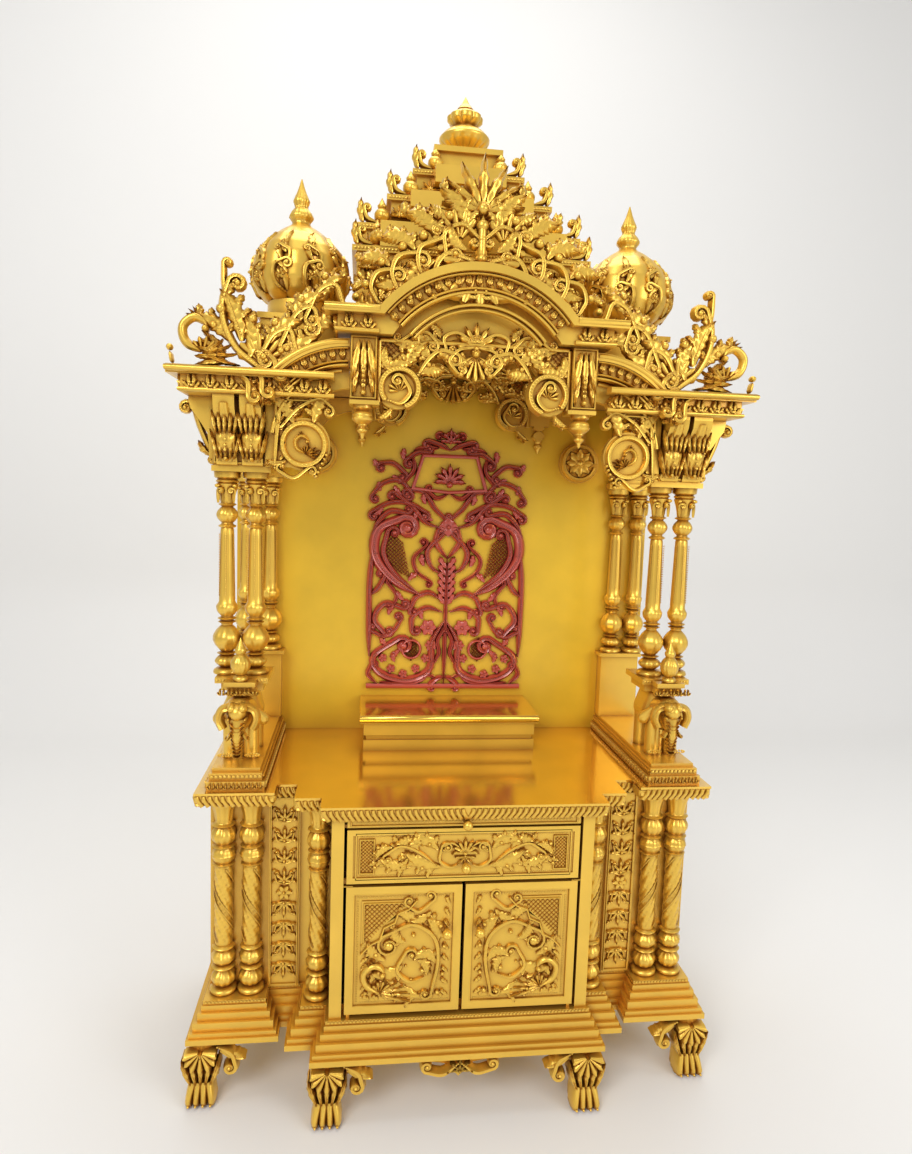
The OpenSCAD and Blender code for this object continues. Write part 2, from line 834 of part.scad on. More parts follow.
// Domes with a ringed neck, a melon bulb and a cone
module domes() {
  z0 = centre_top_z + 40;
  r = dome_r;
  dome = [for (a = [-38:8:74]) [r * cos(a), 64 + r * 1.05 * sin(a)]];
  top = 64 + r * 1.05 * sin(74);
  points = concat([[70, 0]], dome, [[30, top + 4], [30, top + 10], [18, top + 16]],
    bulb(top + 18, top + 44, 12, 26), [[12, top + 50], [17, top + 56]],
    bulb(top + 58, top + 74, 8, 13), [[6, top + 80], [1, top + 98]]);
  color(gold) both() turned(centre_half + 88, column_y + 70, z0, points);
}

// One tier: a body, a plate that stands out by 10, and a sloped roof on it
module tier(x, y0, z0, h, slope) {
  body = h - slope - 12;
  box(-x + 10, x - 10, y0 + 10, panel_y, z0, z0 + body);
  box(-x, x, y0, panel_y, z0 + body, z0 + body + 12);
  intersection() {
    upright(y0, panel_y)
      polygon([[-x + 8, z0 + h - slope], [-x + 62, z0 + h], [x - 62, z0 + h],
        [x - 8, z0 + h - slope]]);
    sideways(-x, x)
      polygon([[y0 + 8, z0 + h - slope], [y0 + 56, z0 + h], [panel_y, z0 + h],
        [panel_y, z0 + h - slope]]);
  }
}

// Plan steps of the tower: half width and front plane of its corner blocks,
// and of the narrower block in front of them
tier_in = [0, 10, 72, 129, 183];
tier_back = [0, 56, 80, 121, 142];
function tier_x(k) = post_x + 2 - tier_in[k];
function tier_y(k) = canopy_y + 117 + tier_back[k];
base_tier_h = 152;
top_tier_h = 40;
tier_z1 = centre_top_z + base_tier_h;
tier_z2 = tier_z1 + tier_h + 30;
tier_z3 = tier_z2 + tier_h;
tier_z4 = tier_z3 + tier_h - 6;
finial_z = tier_z4 + top_tier_h;

module tower_lower() {
  color(gold) {
    tier(tier_x(0), tier_y(0), centre_top_z, base_tier_h, 0);
    tier(tier_x(1), tier_y(1), tier_z1, tier_z2 - tier_z1, 36);
    box(-tier_x(1) + 48, tier_x(1) - 48, tier_y(1) - 58, tier_y(1) + 10,
      tier_z1, tier_z1 + tier_h - 18);
  }
}

module tower_upper() {
  color(gold) {
    tier(tier_x(2), tier_y(2), tier_z2, tier_z3 - tier_z2, 34);
    box(-tier_x(2) + 50, tier_x(2) - 50, tier_y(2) - 40, tier_y(2) + 10,
      tier_z2, tier_z2 + 34);
    tier(tier_x(3), tier_y(3), tier_z3, tier_z4 - tier_z3, 24);
    box(-tier_x(3) + 48, tier_x(3) - 48, tier_y(3) - 39, tier_y(3) + 10,
      tier_z3, tier_z3 + 38);
    tier(tier_x(4) + 6, tier_y(4), tier_z4, top_tier_h, 0);
  }
}

// Main finial: a gadrooned bowl, a neck, a melon bulb, rings and a cone
module main_finial() {
  r = finial_r;
  s = finial_h;
  points = concat([[r * 0.8, 0], [r * 0.8, 14], [r * 0.66, 18]],
    bulb(20, 52, r * 0.7, r), [[r * 0.62, 56], [r * 0.56, 68], [r * 0.3, 78]],
    bulb(80, s - 36, 12, 33), [[10, s - 34], [17, s - 30], [8, s - 26]],
    bulb(s - 24, s - 12, 7, 11), [[5, s - 10], [1, s]]);
  color(gold) turned(0, panel_y - 83, finial_z, points);
}

// Pierced crest on the centre arch: scrolls stepping up to a shell and a tip
module centre_crest() {
  y0 = canopy_y - 4;
  z1 = arch_top_z + crest_h;
  color(gold) upright(y0, y0 + crest_t) difference() {
    union() {
      disc(0, arch_z, arch_r + 16);
      disc(0, z1 - 118, 92);
      disc(0, z1 - 52, 46);
      polygon([[-40, z1 - 64], [0, z1], [40, z1 - 64]]);
      for (side = [-1, 1]) {
        disc(side * 104, z1 - 158, 50);
        disc(side * 160, z1 - 196, 46);
        disc(side * 206, z1 - 244, 40);
        disc(side * 222, z1 - 284, 26);
      }
    }
    disc(0, arch_z, arch_r);
    rect(-2 * centre_half, 2 * centre_half, 0, centre_top_z);
  }
}

// Pierced crests on the wings: a peacock scroll outside, an S-scroll inside
module wing_crests() {
  y0 = wing_y - 4;
  z0 = wing_top_z;
  color(gold) both() upright(y0, y0 + crest_t) difference() {
    union() {
      disc(wing_arch_in, wing_arch_z, wing_arch_r + 12);
      rect(post_x, wing_half, z0, z0 + 12);
      disc(wing_half - 44, z0 + 52, 58);
      disc(wing_half - 62, z0 + 104, 44);
      polygon([[wing_half - 104, z0 + 100], [wing_half - 79, z0 + 180],
        [wing_half - 40, z0 + 120]]);
      disc(wing_half - 130, z0 + 44, 56);
      disc(wing_half - 190, z0 + 66, 52);
      disc(wing_half - 234, z0 + 120, 44);
      disc(post_x + 52, z0 + 150, 52);
    }
    disc(wing_arch_in, wing_arch_z, wing_arch_r);
    rect(0, 2 * wing_half, 0, z0);
    rect(0, post_x + 1, 0, 2 * z0);
    rect(0, centre_half + lip_out + 1, centre_eave_z - 1, centre_top_z + 1);
  }
}

centre_feet();
corner_feet();
foot_brackets();
plinth();
cabinet_floor();
cabinet_back();
side_walls();
inner_walls();
front_frame();
carved_strips();
base_columns();
table_top();
door_pivots();
slide_runners();
left_door();
right_door();
drawer();
tray();
back_panel();
seat_body();
seat_top();
lattice();
side_rails();
left_elephant();
right_elephant();
bracket_plates();
kalash_urns();
front_columns();
rear_pedestals();
rear_columns();
cap_slabs();
capital_blocks();
side_beams();
wing_cornices();
wing_brackets();
pendant_posts();
centre_fascia();
centre_cornice();
rear_arch();
roof_boards();
dome_boxes();
domes();
tower_lower();
tower_upper();
main_finial();
centre_crest();
wing_crests();
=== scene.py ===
import math

import bmesh
import bpy
import numpy as np
from bpy.props import FloatProperty, FloatVectorProperty, PointerProperty
from mathutils import Matrix, Vector


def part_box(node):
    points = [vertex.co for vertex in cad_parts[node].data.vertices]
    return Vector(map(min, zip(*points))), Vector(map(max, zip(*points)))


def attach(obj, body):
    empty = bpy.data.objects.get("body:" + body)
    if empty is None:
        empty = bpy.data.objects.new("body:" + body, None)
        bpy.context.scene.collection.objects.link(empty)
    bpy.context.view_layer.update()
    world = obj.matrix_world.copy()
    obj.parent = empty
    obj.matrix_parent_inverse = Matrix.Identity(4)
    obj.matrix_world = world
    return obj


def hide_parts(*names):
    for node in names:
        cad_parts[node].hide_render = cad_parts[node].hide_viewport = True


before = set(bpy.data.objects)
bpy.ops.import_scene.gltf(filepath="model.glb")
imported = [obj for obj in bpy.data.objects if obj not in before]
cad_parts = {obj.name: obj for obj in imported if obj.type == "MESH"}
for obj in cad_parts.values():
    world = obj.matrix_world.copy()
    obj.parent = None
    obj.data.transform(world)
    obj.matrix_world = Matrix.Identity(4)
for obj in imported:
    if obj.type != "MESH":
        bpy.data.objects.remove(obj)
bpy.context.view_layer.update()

bl_info = {
    "name": "Carved wooden shrine",
    "version": (1, 0, 0),
    "blender": (4, 5, 0),
    "location": "3D View > Sidebar > Shrine",
    "description": "Builds the carving, finishes and stage of a gold painted pooja mandir",
    "category": "Object",
}

PI = math.pi
MM = 1000.0             # millimetres in a metre

# ---------------------------------------------------------------------------
# Places, in millimetres, taken from the frame
# ---------------------------------------------------------------------------


def node_box(name):
    """Lowest and highest corner of a CAD node, in millimetres."""
    low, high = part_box(name)
    return np.array(low) * MM, np.array(high) * MM


FRONT_LO, FRONT_HI = node_box("front_frame")
PLINTH_HI = node_box("plinth")[1]
TABLE_LO = node_box("table_top")[0]
RAIL_LO, RAIL_HI = node_box("side_rails")
STRIP_LO, STRIP_HI = node_box("carved_strips")
DOOR_LO, DOOR_HI = node_box("right_door")
DRAWER_LO, DRAWER_HI = node_box("drawer")
TRAY_LO, TRAY_HI = node_box("tray")
SEAT_LO, SEAT_HI = node_box("seat_top")
BACK_LO = node_box("back_panel")[0]
WING_HI = node_box("wing_cornices")[1]
EAVE_LO = node_box("centre_cornice")[0]
FASCIA_LO = node_box("centre_fascia")[0]
LATTICE_LO = node_box("lattice")[0]
FINIAL_LO, FINIAL_HI = node_box("main_finial")
DOME_LO, DOME_HI = node_box("domes")
URN_LO, URN_HI = node_box("kalash_urns")
PLATE_LO = node_box("bracket_plates")[0]
ELEPHANT_LO, ELEPHANT_HI = node_box("right_elephant")
FRONT_COL_LO, FRONT_COL_HI = node_box("front_columns")
REAR_COL_LO, REAR_COL_HI = node_box("rear_columns")
BASE_COL_LO, BASE_COL_HI = node_box("base_columns")
CAPITAL_LO, CAPITAL_HI = node_box("capital_blocks")

BACK_Y = PLINTH_HI[1]
PANEL_Y = BACK_LO[1]
CENTRE_X = FRONT_HI[0]
CENTRE_Y = FRONT_LO[1]
HALF_W = RAIL_HI[0]
MAIN_Y = STRIP_HI[1]
PIER_Y = RAIL_LO[1] + 8.0
PIER_W = 117.0
PIER_X = HALF_W - PIER_W
PIER_MID = HALF_W - PIER_W / 2
BAY_X = CENTRE_X + 54.0
BAY_Y = MAIN_Y - 76.0
COLUMN_X = PIER_MID + 9.0
COLUMN_Y = MAIN_Y + 78.0
WING_Y = MAIN_Y - 16.0
WING_HALF = WING_HI[0] - 25.0
EAVE_Z = CAPITAL_HI[2]
CAPITAL_Z = CAPITAL_LO[2]
WING_TOP = EAVE_Z + 50.0
CENTRE_EAVE = EAVE_Z + 125.0
CENTRE_TOP = CENTRE_EAVE + 50.0
CENTRE_HALF = 279.0
CANOPY_Y = WING_Y - 43.0
FASCIA_Y = FASCIA_LO[1]
POST_X = CENTRE_HALF - 25.0
ARCH_HALF = 196.0
ARCH_TOP = CENTRE_TOP + 93.0
ARCH_R = (ARCH_HALF ** 2 + 93.0 ** 2) / (2 * 93.0)
ARCH_Z = ARCH_TOP - ARCH_R
WING_ARCH_X = POST_X + 1.0
WING_ARCH_R = 211.0
WING_ARCH_Z = WING_TOP + 68.0 - WING_ARCH_R
DOME_X = CENTRE_HALF + 88.0
DOME_Y = COLUMN_Y + 70.0


# ---------------------------------------------------------------------------
# Curves
# ---------------------------------------------------------------------------


def spline(points, steps=8):
    """A Catmull-Rom curve through the points, evened out by its own length."""
    p = np.array(points, float)
    p = np.vstack([2 * p[0] - p[1], p, 2 * p[-1] - p[-2]])
    t = np.linspace(0, 1, steps, endpoint=False)[:, None]
    rows = []
    for a, b, c, d in zip(p[:-3], p[1:-2], p[2:-1], p[3:]):
        rows.append(0.5 * (2 * b + (c - a) * t + (2 * a - 5 * b + 4 * c - d) * t ** 2
                           + (3 * b - a - 3 * c + d) * t ** 3))
    rows.append(p[-2][None, :])
    return evened(np.vstack(rows), steps * (len(points) - 1) + 1)


def evened(path, count):
    """The same curve with count points at equal distances."""
    step = np.r_[0, np.cumsum(np.linalg.norm(np.diff(path, axis=0), axis=1))]
    at = np.linspace(0, step[-1], count)
    return np.stack([np.interp(at, step, path[:, k]) for k in range(path.shape[1])], 1)


def curl(path, radius, turns=1.1, hand=1, shrink=0.32, steps=12):
    """Adds a shrinking spiral to the path's end. Returns the path and the eye's centre."""
    heading = np.arctan2(*(path[-1] - path[-2])[::-1])
    count = max(6, int(steps * turns))
    angle = np.linspace(0, 2 * PI * turns, count)
    r = radius * np.exp(np.log(shrink) * angle / angle[-1])
    step = r * (angle[1] - angle[0])
    phi = heading + hand * angle
    xy = np.cumsum(np.stack([np.cos(phi), np.sin(phi)], 1) * step[:, None], 0)
    spiral = path[-1] + xy
    eye = spiral[-1] + hand * r[-1] * np.array([-math.sin(phi[-1]), math.cos(phi[-1])])
    return np.vstack([path, spiral]), eye


def arc(cx, cy, r, a0, a1, count=24):
    """Points on a circle, angles in degrees."""
    a = np.radians(np.linspace(a0, a1, count))
    return np.stack([cx + r * np.cos(a), cy + r * np.sin(a)], 1)


def bent_line(start, heading, length, bend, count=15):
    """A line that leaves start at heading degrees and turns by bend degrees over its length."""
    phi = np.radians(heading + bend * np.linspace(0, 1, count) ** 1.2)
    step = length / (count - 1)
    xy = np.cumsum(np.stack([np.cos(phi), np.sin(phi)], 1) * step, 0)
    return np.vstack([np.array(start, float), np.array(start) + xy[:-1]])


# ---------------------------------------------------------------------------
# Surfaces
# ---------------------------------------------------------------------------


def grid_faces(nu, nv, wrap_u=False, wrap_v=False):
    """Quads of a grid of nu by nv points, closed on itself where asked."""
    i = np.arange(nu if wrap_u else nu - 1)
    j = np.arange(nv if wrap_v else nv - 1)
    a, b = np.meshgrid(i, j, indexing="ij")
    c, d = (a + 1) % nu, (b + 1) % nv
    return np.stack([a * nv + b, c * nv + b, c * nv + d, a * nv + d], -1).reshape(-1, 4)


def bead_shape(sides=7, rings=3):
    """A low dome of unit radius standing on its plane, as points and faces."""
    lat = np.linspace(-0.25, 0.5, rings, endpoint=False) * PI
    lon = np.arange(sides) * 2 * PI / sides
    la, lo = np.meshgrid(lat, lon, indexing="ij")
    ring = np.stack([np.cos(la) * np.cos(lo), np.cos(la) * np.sin(lo), np.sin(la)], -1)
    points = np.vstack([ring.reshape(-1, 3), [[0, 0, 1]], [[0, 0, -0.7]]])
    quads = grid_faces(rings, sides, wrap_v=True)
    k = np.arange(sides)
    n = (k + 1) % sides
    last = (rings - 1) * sides
    top = np.stack([last + k, last + n, np.full(sides, rings * sides)], 1)
    foot = np.stack([n, k, np.full(sides, rings * sides + 1)], 1)
    return points, quads, np.vstack([top, foot])


BEAD = bead_shape(6, 2)
BALL = bead_shape(10, 4)


class Carving:
    """Gathers the surfaces of one piece, in millimetres, and makes its object.
    Shapes are drawn on a working face: u to the right, v up and d out of it."""

    def __init__(self):
        self.points, self.quads, self.tris, self.count = [], [], [], 0
        self.face((0, 0, 0))

    def face(self, origin, right=(1, 0, 0), up=(0, 0, 1)):
        """A flat working face."""
        axes = np.array([right, up, np.cross(right, up)], float)
        base = np.array(origin, float)
        self.place = lambda p: base + p @ axes
        return self

    def around(self, x, y, z, radius, angle=0.0):
        """A face wrapped on an upright cylinder or dome: radius may depend on v."""
        def place(p):
            r = (radius(p[:, 1]) if callable(radius) else radius) + p[:, 2]
            base = radius(p[:, 1]) if callable(radius) else radius
            a = angle + p[:, 0] / np.maximum(base, 6.0)
            return np.stack([x + r * np.sin(a), y - r * np.cos(a), z + p[:, 1]], 1)
        self.place = place
        return self

    def add(self, points, quads=None, tris=None):
        p = np.asarray(points, float).reshape(-1, 3)
        self.points.append(self.place(p))
        if quads is not None and len(quads):
            self.quads.append(np.asarray(quads) + self.count)
        if tris is not None and len(tris):
            self.tris.append(np.asarray(tris) + self.count)
        self.count += len(p)

    def tube(self, rings):
        """Rings of points (n, m, 3), closed round and capped at both ends."""
        n, m, _ = rings.shape
        flat = rings.reshape(-1, 3)
        ends = np.stack([rings[0].mean(0), rings[-1].mean(0)])
        k = np.arange(m)
        j = (k + 1) % m
        first = np.stack([j, k, np.full(m, n * m)], 1)
        last = np.stack([(n - 1) * m + k, (n - 1) * m + j, np.full(m, n * m + 1)], 1)
        self.add(np.vstack([flat, ends]), grid_faces(n, m, wrap_v=True),
                 np.vstack([first, last]))

    def ribbon(self, path, width, height, back=1.5, groove=0.0, lobes=0, shear=0.0,
               across=5, rim=0.0, base=0.0):
        """A raised strap along a flat path. Its top is a half round of the given
        height, with a groove along the middle, and lobes scallop its edges."""
        n = len(path)
        t = np.linspace(0, 1, n)
        w = np.broadcast_to(np.asarray(width, float), (n,)).copy()
        h = np.broadcast_to(np.asarray(height, float), (n,))
        tangent = np.gradient(path, axis=0)
        tangent /= np.linalg.norm(tangent, axis=1)[:, None] + 1e-9
        normal = np.stack([-tangent[:, 1], tangent[:, 0]], 1)
        s = np.linspace(-1, 1, across)
        if lobes:
            w *= 0.62 + 0.38 * np.abs(np.sin(PI * (lobes * t + 0.15)))
        top = np.sqrt(np.clip(1 - s ** 2, 0, 1)) * (1 - groove * np.exp(-(s / 0.3) ** 2))
        top = rim + (1 - rim) * top
        d = h[:, None] * top[None, :]
        if lobes:
            vein = np.cos(2 * PI * (lobes * t[:, None] - 0.8 * np.abs(s)[None, :]))
            d = d * (1 - 0.22 * vein * np.abs(s)[None, :])
        lean = tangent[:, None, :] * (shear * w[:, None] * np.abs(s))[:, :, None]
        xy = path[:, None, :] + normal[:, None, :] * (w[:, None] * s)[:, :, None] + lean
        surface = np.concatenate([xy, base + d[:, :, None]], 2)
        low = np.full((n, 1, 1), base - back)
        under = [np.concatenate([xy[:, k][:, None, :], low], 2) for k in (across - 1, 0)]
        self.tube(np.concatenate([surface] + under, 1))

    def strap(self, points, w, h, curl0=None, curl1=None, beads=0.0, groove=0.25,
              back=1.5, steps=5, base=0.0, taper=0.45):
        """A scroll: a smooth strap through points, that may curl up at each end.
        A curl is (radius, turns, hand), and its eye gets a ball."""
        path = spline(points, steps)
        middle = len(path)
        eyes = []
        if curl1:
            path, eye = curl(path, curl1[0], curl1[1], curl1[2])
            eyes.append((eye, curl1[0]))
        if curl0:
            path, eye = curl(path[::-1], curl0[0], curl0[1], curl0[2])
            path = path[::-1]
            eyes.append((eye, curl0[0]))
        n = len(path)
        t = np.linspace(0, 1, n)
        w_all = np.full(n, float(w))
        if curl1:
            w_all *= 1 - taper * np.clip((t - 0.45) / 0.55, 0, 1)
        if curl0:
            w_all *= 1 - taper * np.clip((0.55 - t) / 0.55, 0, 1)
        if not curl1:
            w_all *= np.sqrt(np.clip((1 - t) / 0.25, 0.02, 1))
        if not curl0:
            w_all *= np.sqrt(np.clip(t / 0.2, 0.05, 1))
        self.ribbon(path, w_all, h * (0.6 + 0.4 * w_all / w), back, groove, base=base)
        for eye, radius in eyes:
            self.ball(eye, max(0.42 * radius, 0.5 * w), h * 1.25, base)
        if beads:
            body = path[: middle + (len(path) - middle) // 3] if not curl0 else path
            length = np.linalg.norm(np.diff(body, axis=0), axis=1).sum()
            self.beads(evened(body, max(3, int(length / (2.3 * beads)))), beads,
                       base + h * 0.62)

    def leaf(self, start, heading, length, bend=0.0, width=None, h=4.0, lobes=4,
             back=1.5, base=0.0, count=13):
        """A carved leaf: a bent midrib with lobed sides that lean to the tip."""
        path = bent_line(start, heading, length, bend, count)
        t = np.linspace(0, 1, count)
        w = (width or length * 0.26) * np.sin(PI * np.clip(t, 0.03, 0.985) ** 0.8) ** 0.7
        lift = h * (0.75 + 0.5 * t ** 2)
        self.ribbon(path, w, lift, back, 0.45, lobes, 0.55, 5, 0.25, base)

    def ball(self, centre, r, h=None, base=0.0):
        """A smooth boss of radius r that stands h high."""
        p = BALL[0] * np.array([r, r, h or r])
        self.add(p + np.array([centre[0], centre[1], base]), BALL[1], BALL[2])

    def beads(self, centres, r, base=0.0, lift=0.9):
        """A row of beads of few faces, all added at once."""
        c = np.asarray(centres, float)
        k = len(BEAD[0])
        p = BEAD[0] * np.array([r, r, r * lift])
        at = np.concatenate([c, np.full((len(c), 1), base)], 1)
        points = (p[None, :, :] + at[:, None, :]).reshape(-1, 3)
        shift = (np.arange(len(c)) * k)[:, None, None]
        self.add(points, (BEAD[1][None] + shift).reshape(-1, 4),
                 (BEAD[2][None] + shift).reshape(-1, 3))

    def bead_line(self, a, b, r, gap=2.35, base=0.0):
        """Beads in a straight row from a to b."""
        a, b = np.array(a, float), np.array(b, float)
        count = max(2, int(round(np.linalg.norm(b - a) / (gap * r))))
        t = (np.arange(count) + 0.5) / count
        self.beads(a + (b - a) * t[:, None], r, base)

    def fan(self, centre, radius, ribs=7, spread=200.0, facing=90.0, h=5.0, base=0.0,
            back=1.5, inner=0.12):
        """A shell: ribs that spread from its root, each a swelling petal."""
        for k in range(ribs):
            a = facing + spread * (k / (ribs - 1) - 0.5) if ribs > 1 else facing
            side = abs(k / max(ribs - 1, 1) - 0.5) * 2
            reach = radius * (1 - 0.2 * side ** 2)
            start = (centre[0] + inner * radius * math.cos(math.radians(a)),
                     centre[1] + inner * radius * math.sin(math.radians(a)))
            path = bent_line(start, a, reach * (1 - inner), 0, 9)
            t = np.linspace(0, 1, 9)
            tip = np.sqrt(np.clip((1 - t) / 0.12, 0.12, 1))
            w = radius * math.radians(spread) / ribs * 0.52 * (0.25 + 0.75 * t) * tip
            self.ribbon(path, w, h * (0.4 + 0.6 * t), back, 0, across=5, base=base)

    def rosette(self, centre, radius, petals=8, h=5.0, base=0.0, back=1.5):
        """A round flower with a boss in the middle."""
        for k in range(petals):
            a = 360.0 * k / petals
            path = bent_line(centre, a, radius, 0, 8)
            w = radius * 2.6 / petals * np.sin(PI * np.linspace(0.08, 0.97, 8) ** 1.2) ** 0.8
            self.ribbon(path, w, h * 0.8, back, 0.35, across=5, base=base, rim=0.2)
        self.ball(centre, radius * 0.28, h * 1.3, base)

    def hatch(self, corners, pitch, r=0.8, h=1.6, base=0.0):
        """Crossed thin ribs that fill a convex outline."""
        c = np.array(corners, float)
        for direction in ((1, 1), (1, -1)):
            d = np.array(direction) / math.sqrt(2)
            n = np.array([-d[1], d[0]])
            low, high = (c @ n).min(), (c @ n).max()
            for off in np.arange(low + pitch / 2, high, pitch):
                cuts = []
                for p, q in zip(c, np.roll(c, -1, 0)):
                    a, b = p @ n - off, q @ n - off
                    if a * b < 0:
                        cuts.append(p + (q - p) * a / (a - b))
                if len(cuts) == 2:
                    line = np.linspace(cuts[0], cuts[1], 3)
                    self.ribbon(line, r, h, 0.8, across=3, base=base)

    def slab(self, outline, d0, d1):
        """A flat board of any outline that its own middle can see, from d0 to d1."""
        o = np.array(outline, float)
        n = len(o)
        mid = o.mean(0)
        low = np.c_[o, np.full(n, d0)]
        high = np.c_[o, np.full(n, d1)]
        p = np.vstack([low, high, [[*mid, d0], [*mid, d1]]])
        k = np.arange(n)
        j = (k + 1) % n
        side = np.stack([k, j, n + j, n + k], 1)
        caps = np.vstack([np.stack([j, k, np.full(n, 2 * n)], 1),
                          np.stack([n + k, n + j, np.full(n, 2 * n + 1)], 1)])
        self.add(p, side, caps)

    def frame_line(self, corners, w, h, back=1.0, base=0.0, closed=True):
        """A raised fillet along an outline with mitred corners."""
        ring = mitred(np.array(corners, float), closed)
        self.moulding(ring, [(-w, -back), (-w, h * 0.6), (-w * 0.4, h), (w * 0.4, h),
                             (w, h * 0.6), (w, -back)], closed, base)

    def moulding(self, ring, profile, closed, base=0.0):
        """Carries a closed profile of (side, out) points along a mitred flat path."""
        points, offsets = ring
        prof = np.array(profile, float)
        xy = points[:, None, :] + offsets[:, None, :] * prof[None, :, :1]
        d = np.broadcast_to(base + prof[None, :, 1:], (len(points), len(prof), 1))
        rings = np.concatenate([xy, d], 2)
        if closed:
            n, m, _ = rings.shape
            self.add(rings.reshape(-1, 3), grid_faces(n, m, True, True))
        else:
            self.tube(rings)

    def lathe(self, x, y, z, radii, heights, relief=None, sides=48, cut_y=None):
        """A turned surface: radii over heights, with relief(angle, height) added.
        Where cut_y is given, the points behind that plane are laid flat on it."""
        a = np.arange(sides) * 2 * PI / sides
        r = np.repeat(np.asarray(radii, float)[:, None], sides, 1)
        h = np.asarray(heights, float)
        if relief is not None:
            r = r + relief(a[None, :], h[:, None])
        rings = np.stack([x + r * np.sin(a), y - r * np.cos(a),
                          np.repeat(z + h[:, None], sides, 1)], -1)
        if cut_y is not None:
            rings[..., 1] = np.minimum(rings[..., 1], cut_y)
        old, self.place = self.place, lambda p: p
        self.tube(rings)
        self.place = old

    def mirror(self, since=0):
        """Adds the mirror image, in X, of the surfaces from number since on."""
        points = self.points[since:]
        first = sum(len(p) for p in self.points[:since])
        flipped = np.vstack(points) * np.array([-1, 1, 1])
        move = self.count - first
        for store, width in ((self.quads, 4), (self.tris, 3)):
            chosen = [f for f in store if f.min() >= first]
            if chosen:
                store.append(np.vstack(chosen)[:, ::-1] + move)
        self.points.append(flipped)
        self.count += len(flipped)
        return self

    def build(self, name, material, body="root", replaces=(),
              smooth=50.0):
        """Makes the object: metres, outward faces, its finish and its body."""
        points = np.vstack(self.points) * 0.001
        quads = np.vstack(self.quads) if self.quads else np.zeros((0, 4), int)
        tris = np.vstack(self.tris) if self.tris else np.zeros((0, 3), int)
        mesh = bpy.data.meshes.new(name)
        mesh.vertices.add(len(points))
        mesh.vertices.foreach_set("co", points.ravel())
        loops = np.concatenate([quads.ravel(), tris.ravel()]).astype(np.int32)
        sizes = np.concatenate([np.full(len(quads), 4), np.full(len(tris), 3)])
        starts = np.concatenate([[0], np.cumsum(sizes)[:-1]])
        mesh.loops.add(len(loops))
        mesh.loops.foreach_set("vertex_index", loops)
        mesh.polygons.add(len(sizes))
        mesh.polygons.foreach_set("loop_start", starts.astype(np.int32))
        mesh.update(calc_edges=True)
        work = bmesh.new()
        work.from_mesh(mesh)
        bmesh.ops.recalc_face_normals(work, faces=work.faces)
        work.to_mesh(mesh)
        work.free()
        mesh.shade_smooth()
        obj = bpy.data.objects.new(name, mesh)
        bpy.context.scene.collection.objects.link(obj)
        mesh.set_sharp_from_angle(angle=math.radians(smooth))
        mesh.materials.append(bpy.data.materials[material])
        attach(obj, body)
        if replaces:
            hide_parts(*replaces)
        return obj


def mitred(points, closed):
    """The points of a flat path and, at each, the sideways direction that keeps
    the width of a moulding through the corner."""
    before = np.roll(points, 1, 0)
    after = np.roll(points, -1, 0)
    if not closed:
        before[0] = 2 * points[0] - points[1]
        after[-1] = 2 * points[-1] - points[-2]
    a = points - before
    b = after - points
    a /= np.linalg.norm(a, axis=1)[:, None]
    b /= np.linalg.norm(b, axis=1)[:, None]
    na = np.stack([a[:, 1], -a[:, 0]], 1)
    nb = np.stack([b[:, 1], -b[:, 0]], 1)
    mid = na + nb
    mid /= np.linalg.norm(mid, axis=1)[:, None]
    return points, mid / np.maximum((mid * na).sum(1), 0.3)[:, None]


def bulge(z0, z1, r, big, n=9):
    """Profile points of a round swelling between two heights."""
    t = np.linspace(0, 1, n)
    return np.c_[r + (big - r) * np.sin(PI * t), z0 + (z1 - z0) * t]


def ring_of(z0, z1, r, big):
    """Profile points of a small half-round ring."""
    return bulge(z0, z1, r, big, 5)


# ---------------------------------------------------------------------------
# Finishes
# ---------------------------------------------------------------------------


def socket(group, name, kind, way, default=None):
    s = group.interface.new_socket(name=name, in_out=way, socket_type=kind)
    if default is not None:
        s.default_value = default
    return s


